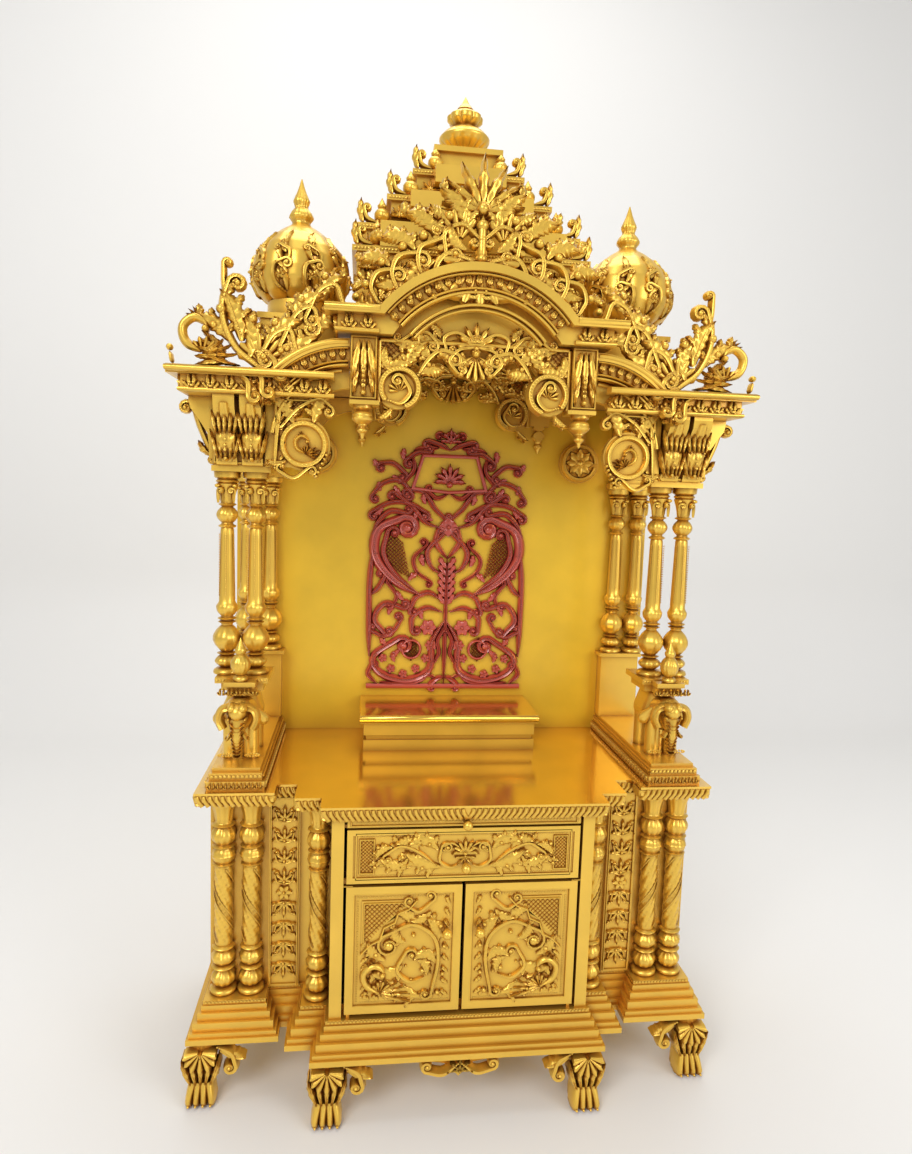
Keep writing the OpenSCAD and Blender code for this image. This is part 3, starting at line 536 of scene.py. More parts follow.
def painted_shade_and_tone_group():
    """Shared effect: painted shade, the colour mixed towards a dark brown where ambient
    occlusion finds the carving deep, soft blotches in the colour, and a fine brushed height."""
    g = bpy.data.node_groups.new("carving_painted_shade_and_tone", "ShaderNodeTree")
    socket(g, "Colour", "NodeSocketColor", "INPUT", (0.8, 0.5, 0.08, 1))
    socket(g, "Shade colour", "NodeSocketColor", "INPUT", (0.25, 0.09, 0.01, 1))
    socket(g, "Depth", "NodeSocketFloat", "INPUT", 0.012)
    socket(g, "Strength", "NodeSocketFloat", "INPUT", 1.0)
    socket(g, "Blotch scale", "NodeSocketFloat", "INPUT", 9.0)
    socket(g, "Colour", "NodeSocketColor", "OUTPUT")
    socket(g, "Roughness", "NodeSocketFloat", "OUTPUT")
    socket(g, "Height", "NodeSocketFloat", "OUTPUT")
    n, link = g.nodes, g.links
    enter, leave = n.new("NodeGroupInput"), n.new("NodeGroupOutput")
    # painted shade: ambient occlusion finds the deep carving, and there the colour is mixed
    # towards the dark shade colour
    hollow = n.new("ShaderNodeAmbientOcclusion")
    hollow.samples = 6
    link.new(enter.outputs["Depth"], hollow.inputs["Distance"])
    ramp = n.new("ShaderNodeMapRange")
    ramp.inputs["From Min"].default_value = 0.42
    ramp.inputs["From Max"].default_value = 0.96
    ramp.inputs["To Min"].default_value = 1.0
    ramp.inputs["To Max"].default_value = 0.0
    link.new(hollow.outputs["AO"], ramp.inputs["Value"])
    painted_shade_amount = n.new("ShaderNodeMath")
    painted_shade_amount.operation = "MULTIPLY"
    link.new(ramp.outputs["Result"], painted_shade_amount.inputs[0])
    link.new(enter.outputs["Strength"], painted_shade_amount.inputs[1])
    place = n.new("ShaderNodeTexCoord")
    blotch = n.new("ShaderNodeTexNoise")
    blotch.inputs["Detail"].default_value = 4
    link.new(place.outputs["Object"], blotch.inputs["Vector"])
    link.new(enter.outputs["Blotch scale"], blotch.inputs["Scale"])
    tone = n.new("ShaderNodeMapRange")
    tone.inputs["To Min"].default_value = 0.82
    tone.inputs["To Max"].default_value = 1.14
    link.new(blotch.outputs["Fac"], tone.inputs["Value"])
    toned = n.new("ShaderNodeVectorMath")
    toned.operation = "SCALE"
    link.new(enter.outputs["Colour"], toned.inputs[0])
    link.new(tone.outputs["Result"], toned.inputs["Scale"])
    mix = n.new("ShaderNodeMix")
    mix.data_type = "RGBA"
    link.new(painted_shade_amount.outputs["Value"], mix.inputs["Factor"])
    link.new(toned.outputs["Vector"], mix.inputs["A"])
    link.new(enter.outputs["Shade colour"], mix.inputs["B"])
    rough = n.new("ShaderNodeMapRange")
    rough.inputs["To Min"].default_value = 0.26
    rough.inputs["To Max"].default_value = 0.42
    link.new(blotch.outputs["Fac"], rough.inputs["Value"])
    grain = n.new("ShaderNodeTexNoise")
    grain.inputs["Scale"].default_value = 420
    grain.inputs["Detail"].default_value = 2
    link.new(place.outputs["Object"], grain.inputs["Vector"])
    link.new(mix.outputs["Result"], leave.inputs["Colour"])
    link.new(rough.outputs["Result"], leave.inputs["Roughness"])
    link.new(grain.outputs["Fac"], leave.inputs["Height"])
    return g


def paint(name, colour, shade_colour, metallic, depth, shade_strength, coat, bump=0.00025,
          rough=None, blotch=9.0, coat_rough=0.12):
    """A painted finish that places the shared painted shade and tone with its own values."""
    m = bpy.data.materials.new(name)
    m.use_nodes = True
    n, link = m.node_tree.nodes, m.node_tree.links
    shader = n["Principled BSDF"]
    shade_and_tone = n.new("ShaderNodeGroup")
    shade_and_tone.node_tree = bpy.data.node_groups["carving_painted_shade_and_tone"]
    shade_and_tone.inputs["Colour"].default_value = (*colour, 1)
    # the dark colour painted as shade into the carving's hollows
    shade_and_tone.inputs["Shade colour"].default_value = (*shade_colour, 1)
    shade_and_tone.inputs["Depth"].default_value = depth
    shade_and_tone.inputs["Strength"].default_value = shade_strength
    shade_and_tone.inputs["Blotch scale"].default_value = blotch
    link.new(shade_and_tone.outputs["Colour"], shader.inputs["Base Color"])
    if rough is None:
        link.new(shade_and_tone.outputs["Roughness"], shader.inputs["Roughness"])
    else:
        shader.inputs["Roughness"].default_value = rough
    hill = n.new("ShaderNodeBump")
    hill.inputs["Distance"].default_value = bump
    hill.inputs["Strength"].default_value = 0.6
    link.new(shade_and_tone.outputs["Height"], hill.inputs["Height"])
    link.new(hill.outputs["Normal"], shader.inputs["Normal"])
    shader.inputs["Metallic"].default_value = metallic
    shader.inputs["Coat Weight"].default_value = coat
    shader.inputs["Coat Roughness"].default_value = coat_rough
    return m


def finishes():
    """All the paints, each built on the shared group of painted crevice shade and colour tone.
    """
    painted_shade_and_tone_group()
    # the second colour of each paint is painted shade, mixed in where the carving is deep
    gold, shade_colour = (0.86, 0.54, 0.075), (0.30, 0.10, 0.008)
    paint("carved gold", gold, shade_colour, 0.72, 0.014, 0.95, 0.25)
    paint("wood gold", (0.86, 0.54, 0.075), (0.40, 0.15, 0.012), 0.7, 0.02, 0.8, 0.3)
    paint("polished gold", (0.92, 0.58, 0.08), (0.50, 0.22, 0.02), 0.85, 0.03, 0.7, 0.6,
          0.00008, 0.13)
    paint("panel gold", (0.90, 0.58, 0.035), (0.60, 0.30, 0.02), 0.3, 0.05, 0.6, 0.15,
          0.0001, 0.3)
    paint("lattice red", (0.56, 0.075, 0.045), (0.10, 0.006, 0.004), 0.1, 0.006, 1.0, 0.7,
          0.0002, 0.3)
    paint("lattice outline", (0.16, 0.016, 0.014), (0.05, 0.003, 0.003), 0.1, 0.006, 1.0,
          0.7, 0.0002, 0.3)
    paint("inner wood", (0.50, 0.27, 0.05), (0.16, 0.06, 0.01), 0.3, 0.03, 0.8, 0.1,
          0.0004, 0.5)


# ---------------------------------------------------------------------------
# Carved work
# ---------------------------------------------------------------------------


def palmette(c, x, y, size, up=90.0, h=5.0, ribs=5, base=0.0):
    """A fan of leaves with a ball at its root."""
    for k in range(ribs):
        a = up + (k - (ribs - 1) / 2) * 150.0 / max(ribs - 1, 1)
        reach = size * (1 - 0.28 * abs(k - (ribs - 1) / 2) / max(ribs - 1, 1))
        c.leaf((x, y), a, reach, (a - up) * 0.5, size * 0.17, h, 2, base=base, count=9)
    c.ball((x, y), size * 0.14, h * 1.2, base)


def acanthus(c, x, y, heading, length, bend, width, h, sprigs=3, base=0.0):
    """A long leaf with sprigs on its outer side."""
    c.leaf((x, y), heading, length, bend, width, h, 6, base=base, count=19)
    for k in range(sprigs):
        f = (k + 0.6) / (sprigs + 0.6)
        a = math.radians(heading + bend * f * 0.5)
        px, py = x + math.cos(a) * length * f, y + math.sin(a) * length * f
        side = -1 if bend > 0 else 1
        c.leaf((px, py), heading + bend * f + side * 48, length * 0.36, side * 40,
               width * 0.55, h * 0.8, 3, base=base, count=11)


def peacock(c, x, y, size, hand=1, h=7.0, base=0.0):
    """A bird of carved curves: a loop of neck, beak, crest, fluted breast and wing."""
    s, m = size, hand
    neck = [(x - m * 0.05 * s, y - 0.55 * s), (x + m * 0.42 * s, y - 0.25 * s),
            (x + m * 0.5 * s, y + 0.22 * s), (x + m * 0.15 * s, y + 0.52 * s),
            (x - m * 0.2 * s, y + 0.34 * s), (x - m * 0.2 * s, y + 0.1 * s)]
    c.strap(neck, 0.15 * s, h * 1.3, base=base, groove=0.0, taper=0)
    c.ball((x - m * 0.2 * s, y + 0.16 * s), 0.13 * s, h * 1.7, base)
    c.leaf((x - m * 0.24 * s, y + 0.1 * s), -90 - m * 25, 0.32 * s, 0, 0.06 * s, h * 1.3, 0,
           base=base)
    for k in range(3):
        c.leaf((x + m * 0.05 * s, y + 0.5 * s), 90 - m * (10 + 28 * k), 0.34 * s, -m * 30,
               0.06 * s, h, 2, base=base, count=9)
    c.fan((x - m * 0.1 * s, y - 0.62 * s), 0.55 * s, 6, 130, 100 + m * 20, h * 1.1, base)
    for k in range(4):
        c.leaf((x - m * 0.1 * s, y - 0.6 * s), 90 + m * (62 + 17 * k), (0.8 + 0.14 * k) * s,
               -m * 18, 0.1 * s, h, 4, base=base, count=13)


def drawer_carving(c):
    """The drawer's leafwork, drawn about its middle and mirrored."""
    w = DRAWER_HI[0] - 14
    low, high = DRAWER_LO[2] + 12, DRAWER_HI[2] - 12
    y = CENTRE_Y + 3
    c.face((0, y, 0))
    mid = (low + high) / 2
    c.frame_line([(-w + 4, low - 4), (w - 4, low - 4), (w - 4, high + 4), (-w + 4, high + 4)],
                 2.0, 3.0)
    c.bead_line((-w + 12, high - 3), (w - 12, high - 3), 1.9)
    c.bead_line((-w + 12, low + 3), (w - 12, low + 3), 1.9)
    palmette(c, 0, mid + 2, 34, 90, 6, 7)
    palmette(c, 0, mid - 4, 26, -90, 5, 5)
    since = len(c.points)
    c.strap([(10, mid - 18), (30, mid - 26), (52, mid - 12), (50, mid + 12)], 4.2, 7,
            curl1=(13, 1.15, 1), beads=1.4)
    c.strap([(12, mid + 16), (28, mid + 26), (44, mid + 20)], 3.4, 6, curl1=(8, 1.0, -1))
    for row in ((50, mid - 24, 4, 84, 50, 15, 7, 4), (56, mid + 12, 50, 70, -90, 14, 7, 4),
                (96, mid + 4, 70, 62, -110, 13, 7, 3), (112, mid - 22, -6, 70, 60, 13, 7, 3),
                (150, mid + 20, -10, 44, -60, 11, 7, 2)):
        acanthus(c, *row)
    for px, pz in ((74, 24), (88, -26), (128, -2), (178, 20), (184, -22)):
        c.ball((px, mid + pz), 5, 8)
    c.strap([(58, mid - 22), (95, mid + 8), (132, mid + 22), (160, mid + 6)], 4.2, 7,
            curl1=(13, 1.15, -1), beads=1.3)
    for k in range(4):
        c.leaf((118 + 18 * k, mid - 4 - 2 * k), -70 + 14 * k, 26, 40, 7, 5, 3)
        c.leaf((100 + 18 * k, mid + 16), 60 - 10 * k, 20, -30, 6, 5, 3)
    c.frame_line([(w - 40, low + 9), (w - 12, low + 9), (w - 12, high - 9), (w - 40, high - 9)],
                 1.8, 3.4)
    c.hatch([(w - 38, low + 11), (w - 14, low + 11), (w - 14, high - 11), (w - 38, high - 11)],
            5.2)
    c.mirror(since)
    trim(c, 0, -w, w, low - 8, high + 8)


def door_carving(c, hand):
    """One door's carving; hand is 1 on the right leaf and -1 on the left."""
    y = CENTRE_Y + 4
    z0, z1 = DOOR_LO[2] + 16, DOOR_HI[2] - 16
    inner, outer = 3.5 + 16, 240 - 16
    c.face((0, y, 0))
    since = len(c.points)
    c.frame_line([(inner, z0), (outer, z0), (outer, z1), (inner, z1)], 2.0, 4.2)
    c.bead_line((inner + 6, z1 - 8), (outer - 6, z1 - 8), 2.3)
    c.bead_line((outer - 8, z0 + 6), (outer - 8, z1 - 14), 2.3)
    c.bead_line((inner + 6, z0 + 7), (outer - 14, z0 + 7), 1.9)
    edge = [(outer - 128, z1 - 15), (outer - 112, z1 - 34), (outer - 90, z1 - 42),
            (outer - 84, z1 - 62), (outer - 62, z1 - 72), (outer - 54, z1 - 98),
            (outer - 34, z1 - 108), (outer - 16, z1 - 128)]
    c.slab(edge + [(outer - 16, z1 - 15)], -1, 2.6)
    c.hatch([(outer - 112, z1 - 20), (outer - 62, z1 - 64), (outer - 22, z1 - 112),
             (outer - 22, z1 - 20)], 7.0, 0.9, 1.8, 2.6)
    c.frame_line(edge, 2.6, 7, closed=False)
    c.frame_line([(outer - 108, z1 - 20), (outer - 21, z1 - 20), (outer - 21, z1 - 108)], 1.6,
                 5, closed=False)
    cx, cz = inner + 92, (z0 + z1) / 2 - 4
    c.strap([(cx - 50, z0 + 26), (cx - 62, cz - 22), (cx - 52, cz + 30), (cx - 8, cz + 58),
             (cx + 40, cz + 40)], 6.5, 9, curl0=(13, 1.0, 1), curl1=(26, 1.25, -1), beads=2.2,
            steps=9)
    c.strap([(cx - 34, cz - 58), (cx - 4, cz - 66), (cx + 22, cz - 40), (cx + 8, cz - 8)],
            5, 8, curl1=(15, 1.2, 1), beads=1.7)
    c.strap([(cx - 46, z1 - 20), (cx - 20, z1 - 40), (cx + 2, z1 - 28)], 4.6, 7,
            curl1=(11, 1.1, 1), curl0=(13, 1.1, -1), beads=1.5)
    peacock(c, outer - 50, z0 + 60, 54, 1, 9)
    for row in ((cx + 12, cz - 30, -50, 70, 90, 17, 8, 3),
                (cx - 30, z0 + 16, 12, 94, 40, 15, 7, 4),
                (cx - 58, cz + 12, 96, 66, -60, 15, 7, 3),
                (cx - 8, cz + 50, 84, 52, -90, 14, 7, 3),
                (cx - 60, cz - 30, 60, 60, -110, 14, 7, 3),
                (cx + 6, cz + 20, 10, 46, 120, 14, 8, 3),
                (cx - 20, cz - 20, 200, 40, 100, 13, 8, 3),
                (cx + 46, cz - 18, 20, 60, 70, 14, 7, 3),
                (cx - 44, z1 - 40, -60, 50, 90, 12, 7, 3)):
        acanthus(c, *row)
    for px, pz, pr in ((cx - 72, cz - 52, 5), (cx - 74, cz + 8, 5), (cx - 66, cz + 52, 6),
                       (cx - 30, cz - 44, 6), (cx + 66, cz - 6, 6), (cx + 30, z0 + 24, 5),
                       (cx - 62, z0 + 24, 6), (cx - 10, cz + 34, 5)):
        c.ball((px, pz), pr, 9)
    for k in range(9):
        t = k / 8
        c.leaf((inner + 8, z0 + 18 + t * (z1 - z0 - 44)), 20 + 30 * t, 20, 50, 6, 5, 2)
        c.leaf((inner + 20 + t * 150, z0 + 12), 70 - 20 * t, 18, -40, 6, 5, 2)
    for k in range(6):
        c.leaf((outer - 16, z0 + 20 + 15 * k), 150, 19, -30, 6, 5, 2)
        c.ball((outer - 96 - 12 * (k % 3), z0 + 24 + 15 * k), 3.2, 5)
    trim(c, since, inner - 8, outer + 5, z0 - 8, z1 + 8)
    # beside the hinge the relief stays low, so that it passes the stile when open
    for k in range(since, len(c.points)):
        near = c.points[k][:, 0] > outer - 4
        c.points[k][near, 1] = np.maximum(c.points[k][near, 1], y - 6)
    if hand < 0:
        flip_in_x(c, since)


def trim(c, since, x0, x1, z0, z1):
    """Keeps the surfaces from number since on within a board's edges."""
    for k in range(since, len(c.points)):
        c.points[k] = np.clip(c.points[k], (x0, -1e4, z0), (x1, 1e4, z1))


def flip_in_x(c, since):
    """Turns the surfaces from number since on into their mirror image."""
    for k in range(since, len(c.points)):
        c.points[k] = c.points[k] * np.array([-1, 1, 1])


def carve_strips(c):
    """The upright strips between bay and pier: two stacks of palmettes and a flower."""
    x = (341 + 406) / 2
    y = STRIP_LO[1]
    z0, z1 = STRIP_LO[2], STRIP_HI[2]
    c.face((x, y, 0))
    since = len(c.points)
    c.frame_line([(-28, z0 + 6), (28, z0 + 6), (28, z1 - 6), (-28, z1 - 6)], 2, 4)
    mid = (z0 + z1) / 2
    c.rosette((0, mid), 17, 6, 8)
    for k in range(4):
        for side in (1, -1):
            z = mid + side * (24 + 46 * k)
            palmette(c, 0, z, 32, 90 * side, 7, 5)
            for m in (1, -1):
                c.strap([(0, z - side * 4), (m * 14, z), (m * 19, z + side * 14)], 3, 7,
                        curl1=(6, 1.0, m * side))
                c.leaf((m * 10, z + side * 16), 90 * side - m * side * 40, 20, -m * side * 40,
                       5, 5, 2)
    c.mirror(since)


def base_capital_relief(total):
    """Turned relief of a cabinet column: flutes on the bell, melon lobes, a leaf
    collar, rope strands that climb to the right on the shaft, and leaf bulb ribs."""
    def relief(a, z):
        low, high = 110.0, total - 150.0
        rope = np.abs(np.sin((a * 3 - z * 2 * PI / 64.0)))
        rope = 3.4 * rope ** 0.6 - 2.4
        fine = 0.9 * np.cos(a * 6 - z * 2 * PI / 32.0) * np.cos(z * 2.2)
        melon = 2.6 * (np.abs(np.cos(a * 5)) ** 0.7 - 0.7)
        bulb = 2.8 * (np.abs(np.cos(a * 4)) ** 0.6 - 0.6) + 0.8 * np.cos(z * 0.7)
        out = np.where((z > low) & (z < high), rope + fine, 0.0)
        out = np.where((z > total - 102) & (z < total - 66), melon, out)
        out = np.where((z > total - 54) & (z < total - 14), melon * 0.8, out)
        out = np.where((z > total - 142) & (z < total - 112), bulb, out)
        out = np.where((z > 14) & (z < 48), melon, out)
        return np.where((z > 62) & (z < 92), bulb, out)
    return relief


def base_column(c, x, y, r, cut=None):
    """A rope-carved cabinet column, full or half."""
    z0 = BASE_COL_LO[2]
    h = BASE_COL_HI[2] - z0
    rows = np.vstack([
        [(r + 9, 0.4), (r + 10, 3), (r + 9.4, 8), (r + 5, 11)], bulge(13, 49, r - 4, r + 7),
        ring_of(52, 61, r, r + 6), bulge(62, 93, r - 3, r + 6), ring_of(96, 106, r - 2, r + 5),
        np.c_[np.full(44, r - 1.0), np.linspace(110, h - 151, 44)],
        ring_of(h - 149, h - 143, r - 1, r + 4), bulge(h - 142, h - 111, r - 1, r + 5),
        ring_of(h - 110, h - 103, r - 1, r + 5), bulge(h - 102, h - 65, r - 2, r + 7),
        ring_of(h - 63, h - 56, r, r + 6),
        np.c_[r - 1 + 8 * np.linspace(0, 1, 8) ** 2, np.linspace(h - 54, h - 14, 8)],
        ring_of(h - 12, h - 0.4, r + 5, r + 8)])
    rows = rows[np.argsort(rows[:, 1], kind="stable")]
    c.lathe(x, y, z0, rows[:, 0], rows[:, 1], base_capital_relief(h), 40, cut)
    for k in range(3):
        z = np.linspace(116, h - 156, 66)
        a = (z * 2 * PI / 64.0 + PI * (0.5 + k) * 2 / 3) / 3 + k * 2 * PI / 3
        if cut is not None:
            front = np.cos(a) > 0.1
            z, a = z[front], a[front]
        c.around(x, y, z0, r + 1.2)
        c.beads(np.stack([a * (r + 1.2), z], 1), 1.7)


def upper_relief(total):
    """Relief of a shrine column: fluted shaft, acanthus on bulb and cup, melons."""
    def relief(a, z):
        flute = 1.7 * (np.abs(np.cos(a * 6)) ** 0.5) - 1.2
        melon = 2.6 * (np.abs(np.cos(a * 5)) ** 0.7 - 0.7)
        leafy = 3.2 * (np.abs(np.cos(a * 4)) ** 0.6 - 0.55) * (0.8 + 0.3 * np.cos(z * 0.6))
        out = np.where((z > 158) & (z < total - 122), flute, 0.0)
        out = np.where((z > total - 108) & (z < total - 74), melon, out)
        out = np.where((z > total - 64) & (z < total - 26), leafy, out)
        out = np.where((z > 14) & (z < 41), melon, out)
        out = np.where((z > 48) & (z < 105), leafy, out)
        return np.where((z > 126) & (z < 153), leafy, out)
    return relief


def upper_column(c, x, y, z0, h, r=17.0, r_top=14.0, cut=None):
    """A fluted shrine column with volutes in its capital."""
    s = np.linspace(0, 1, 12)
    rows = np.vstack([
        [(r + 11, 0.4), (r + 12, 4), (r + 10, 9), (r + 5, 12)], bulge(14, 41, r - 4, r + 8),
        ring_of(42, 47, r - 2, r + 4), bulge(48, 106, r - 5, r + 12, 13),
        ring_of(110, 116, r - 4, r + 2), ring_of(117, 124, r - 4, r + 3),
        np.c_[r - 4 + 9 * np.sin(PI * np.linspace(0, 0.75, 9)), np.linspace(126, 153, 9)],
        np.c_[r + (r_top - r) * s, 158 + (h - 122 - 158) * s],
        ring_of(h - 119, h - 111, r_top - 1, r_top + 5), bulge(h - 108, h - 74, r_top - 2,
            r_top + 8),
        ring_of(h - 72, h - 66, r_top, r_top + 5),
        np.c_[r_top + 9 * np.linspace(0, 1, 9) ** 1.6, np.linspace(h - 64, h - 26, 9)],
        ring_of(h - 24, h - 16, r_top + 6, r_top + 10),
        [(r_top + 13, h - 12), (r_top + 14, h - 0.4)]])
    c.lathe(x, y, z0, rows[:, 0], rows[:, 1], upper_relief(h), 44, cut)
    for a in (-0.75, 0.75):
        c.around(x, y, z0, r_top + 9, a)
        c.strap([(0, h - 66), (0, h - 44)], 3.5, 5, curl1=(7, 1.1, 1 if a > 0 else -1))
        c.ball((0, h - 30), 5, 9)
    c.around(x, y, z0, r + 0.4)
    for a in np.radians((-60, 0, 60)):
        z = np.arange(172, h - 130, 5.4)
        c.beads(np.stack([np.full(len(z), a * r), z], 1), 1.9)


def stand_moulding(c, ring, z, profile):
    """A moulding carried round the plan outline at height z. Profile points are
    (outward, up)."""
    points, offsets = ring
    prof = np.array(profile, float)
    xy = points[:, None, :] + offsets[:, None, :] * prof[None, :, :1]
    up = np.broadcast_to(z + prof[None, :, 1:], (len(points), len(prof), 1))
    c.place = lambda p: p
    c.tube(np.concatenate([xy, up], 2))


def plan_outline(grow=0.0):
    """The stepped front of the cabinet, from the left back corner round to the right."""
    half = [(CENTRE_X, CENTRE_Y), (CENTRE_X, BAY_Y), (BAY_X, BAY_Y), (BAY_X, MAIN_Y),
            (PIER_X, MAIN_Y), (PIER_X, PIER_Y), (HALF_W, PIER_Y), (HALF_W, BACK_Y - 2)]
    right = np.array(half, float)
    left = right[::-1] * np.array([-1, 1])
    return mitred(np.vstack([left, right]), False)


def along(points, gap, inset=0.0):
    """Evenly spaced places along each straight run of an outline, with the run's
    direction and its outward side."""
    rows = []
    for p, q in zip(points[:-1], points[1:]):
        run = np.linalg.norm(q - p)
        if run < gap * 1.2:
            continue
        count = max(1, int(round((run - 2 * inset) / gap)))
        t = (inset + (np.arange(count) + 0.5) * (run - 2 * inset) / count) / run
        d = (q - p) / run
        for s in t:
            rows.append((*(p + (q - p) * s), *d, (run - 2 * inset) / count))
    return rows


def leaf_row(c, a, b, gap, size, h=5.0, base=0.0, facing=90.0, beads=True):
    """Pairs of upright leaves with a three-bead cluster between, in a row."""
    a, b = np.array(a, float), np.array(b, float)
    count = max(1, int(round(np.linalg.norm(b - a) / gap)))
    for k in range(count):
        x, y = a + (b - a) * (k + 0.5) / count
        for m in (1, -1):
            c.leaf((x + m * 1.5, y), facing - m * 24, size, m * 46, size * 0.2, h, 3,
                   base=base, count=11)
            c.leaf((x + m * 3, y), facing - m * 62, size * 0.62, m * 50, size * 0.15,
                   h * 0.8, 2, base=base, count=9)
        if beads:
            c.beads([(x, y + size * 0.1), (x - size * 0.1, y + size * 0.32),
                     (x + size * 0.1, y + size * 0.32)], size * 0.085, base + h * 0.7)


def capital_carving(c):
    """The block over a front column: two acanthus corbels, strips and side volutes."""
    since = len(c.points)
    z0, z1 = CAPITAL_LO[2], CAPITAL_HI[2]
    x0, x1 = PIER_MID - 45, PIER_MID + 59
    y = COLUMN_Y - 36
    for x in (x0 + 26, x1 - 26):
        # each corbel: a leaf face swelling out from the block, seen from the front
        t = np.linspace(0, 1, 22)
        s = np.linspace(-1, 1, 15)
        out = 14 + 34 * t ** 1.5 + 10 * np.sin(PI * t * 1.5) ** 2
        wide = 18 + 5 * np.sin(PI * t * 1.3)
        ribs = 3.0 * (np.abs(np.cos(2.5 * PI * s[None, :])) ** 0.7 - 0.5)
        lobes = 2.2 * np.cos(2 * PI * (4 * t[:, None] - np.abs(s)[None, :]))
        d = out[:, None] * (1 - 0.5 * s[None, :] ** 4) + ribs + lobes * np.abs(s)[None, :]
        u = wide[:, None] * s[None, :]
        v = np.broadcast_to((z0 + 8 + (z1 - z0 - 26) * t)[:, None], u.shape)
        front = np.stack([u, v, d], -1)
        back = front[:, [-1, 0]] * np.array([1, 1, 0])
        c.face((x, y, 0))
        c.tube(np.concatenate([front, back], 1))
        c.strap([(-20, z1 - 8), (20, z1 - 8)], 8, 52, groove=0, base=0)
        for k in range(5):
            c.leaf(((k - 2) * 8.0, z0 + 12), 90 - 7 * (k - 2), 62, 0, 6, 10, 4,
                   base=22 - 2 * abs(k - 2), count=15)
            c.leaf(((k - 2) * 9.0, z0 + 64), 90 - 5 * (k - 2), 46, 0, 6, 9, 4,
                   base=36 - 2 * abs(k - 2), count=13)
        c.ball((0, z0 + 14), 7, 32)
        c.beads([(0, z0 + 40), (0, z0 + 52), (0, z0 + 30)], 3, 34)
    c.face((0, y, 0))
    c.frame_line([(x0 + 1, z0 + 6), (x1 - 1, z0 + 6), (x1 - 1, z1 - 2), (x0 + 1, z1 - 2)], 3, 6)
    c.face((0, y + 18, 0))
    for s, root in ((-1, x0), (1, x1)):
        c.strap([(root + s * 4, z0 + 20), (root + s * 16, z0 + 40), (root + s * 34, z0 + 82),
                 (root + s * 44, z1 - 26)], 7, 12, curl0=(9, 1.1, s), curl1=(16, 1.2, -s),
                beads=2.0, back=10)
        c.leaf((root + s * 8, z0 + 46), 90 - s * 10, 60, s * 40, 8, 11, 4, back=10)
        c.leaf((root + s * 10, z0 + 20), 90 - s * 60, 40, s * 50, 8, 10, 3, back=8)
    c.mirror(since)


def crest_centre(c):
    """The pierced crest over the middle: plume, shells, C-scrolls and cascading
    S-scrolls with ball ends, drawn on the right and mirrored."""
    y = EAVE_LO[1] + 28
    z = CENTRE_TOP
    c.face((0, y, 0))
    for k in range(7):
        a = 90 + (k - 3) * 21
        c.leaf((0, z + 190), a, 112 - 9 * abs(k - 3), (k - 3) * 13, 12, 11, 4, 9, count=15)
    c.ball((0, z + 200), 13, 16)
    c.strap([(0, z + 96), (0, z + 150), (0, z + 186)], 11, 14, groove=0, back=9)
    c.ball((0, z + 168), 14, 17)
    c.ball((0, z + 142), 11, 15)
    c.fan((0, z + 104), 92, 9, 170, -90, 12, 0, 9)
    c.ball((0, z + 104), 12, 17)
    since = len(c.points)
    c.fan((44, z + 138), 58, 7, 150, 50, 10, 0, 9)
    c.strap([(12, z + 148), (40, z + 168), (74, z + 150), (72, z + 116)], 7, 12,
            curl1=(19, 1.2, -1), curl0=(12, 1.1, 1), beads=2.5, back=9)
    c.strap([(18, z + 30), (62, z + 36), (92, z + 72), (70, z + 110), (34, z + 104)], 8.5, 13,
            curl1=(20, 1.2, 1), curl0=(13, 1.0, -1), beads=2.8, back=9)
    c.strap([(90, z + 134), (122, z + 118), (124, z + 82), (106, z + 58)], 7.5, 12,
            curl0=(17, 1.2, -1), curl1=(16, 1.2, -1), beads=2.5, back=9)
    c.strap([(126, z + 108), (162, z + 100), (176, z + 68), (164, z + 34)], 7.5, 12,
            curl0=(17, 1.2, 1), curl1=(15, 1.2, 1), beads=2.5, back=9)
    c.strap([(170, z + 74), (204, z + 66), (216, z + 38), (206, z + 16)], 7, 12,
            curl0=(14, 1.2, 1), curl1=(12, 1.1, -1), beads=2.3, back=9)
    for row in ((88, z + 138, 70, 84, -90, 20, 12, 4), (30, z + 158, 82, 96, -70, 21, 12, 4),
                (132, z + 112, 56, 76, -100, 19, 12, 4),
                (180, z + 78, 50, 66, -110, 17, 12, 3), (218, z + 44, 10, 40, -90, 10, 9, 2),
                (92, z + 96, -30, 84, -30, 19, 11, 4), (56, z + 60, -10, 70, 70, 18, 11, 4),
                (30, z + 120, 20, 60, 80, 17, 12, 3), (62, z + 186, -10, 48, 60, 15, 12, 3),
                (136, z + 62, -30, 76, 30, 18, 10, 3)):
        acanthus(c, *row)
    for px, pz, r in ((116, 142, 11), (156, 118, 10), (196, 86, 10), (226, 42, 9), (244, 18, 9),
                      (66, 182, 11), (92, 26, 9), (140, 22, 9)):
        c.ball((px, z + pz), r, 15)
    c.mirror(since)


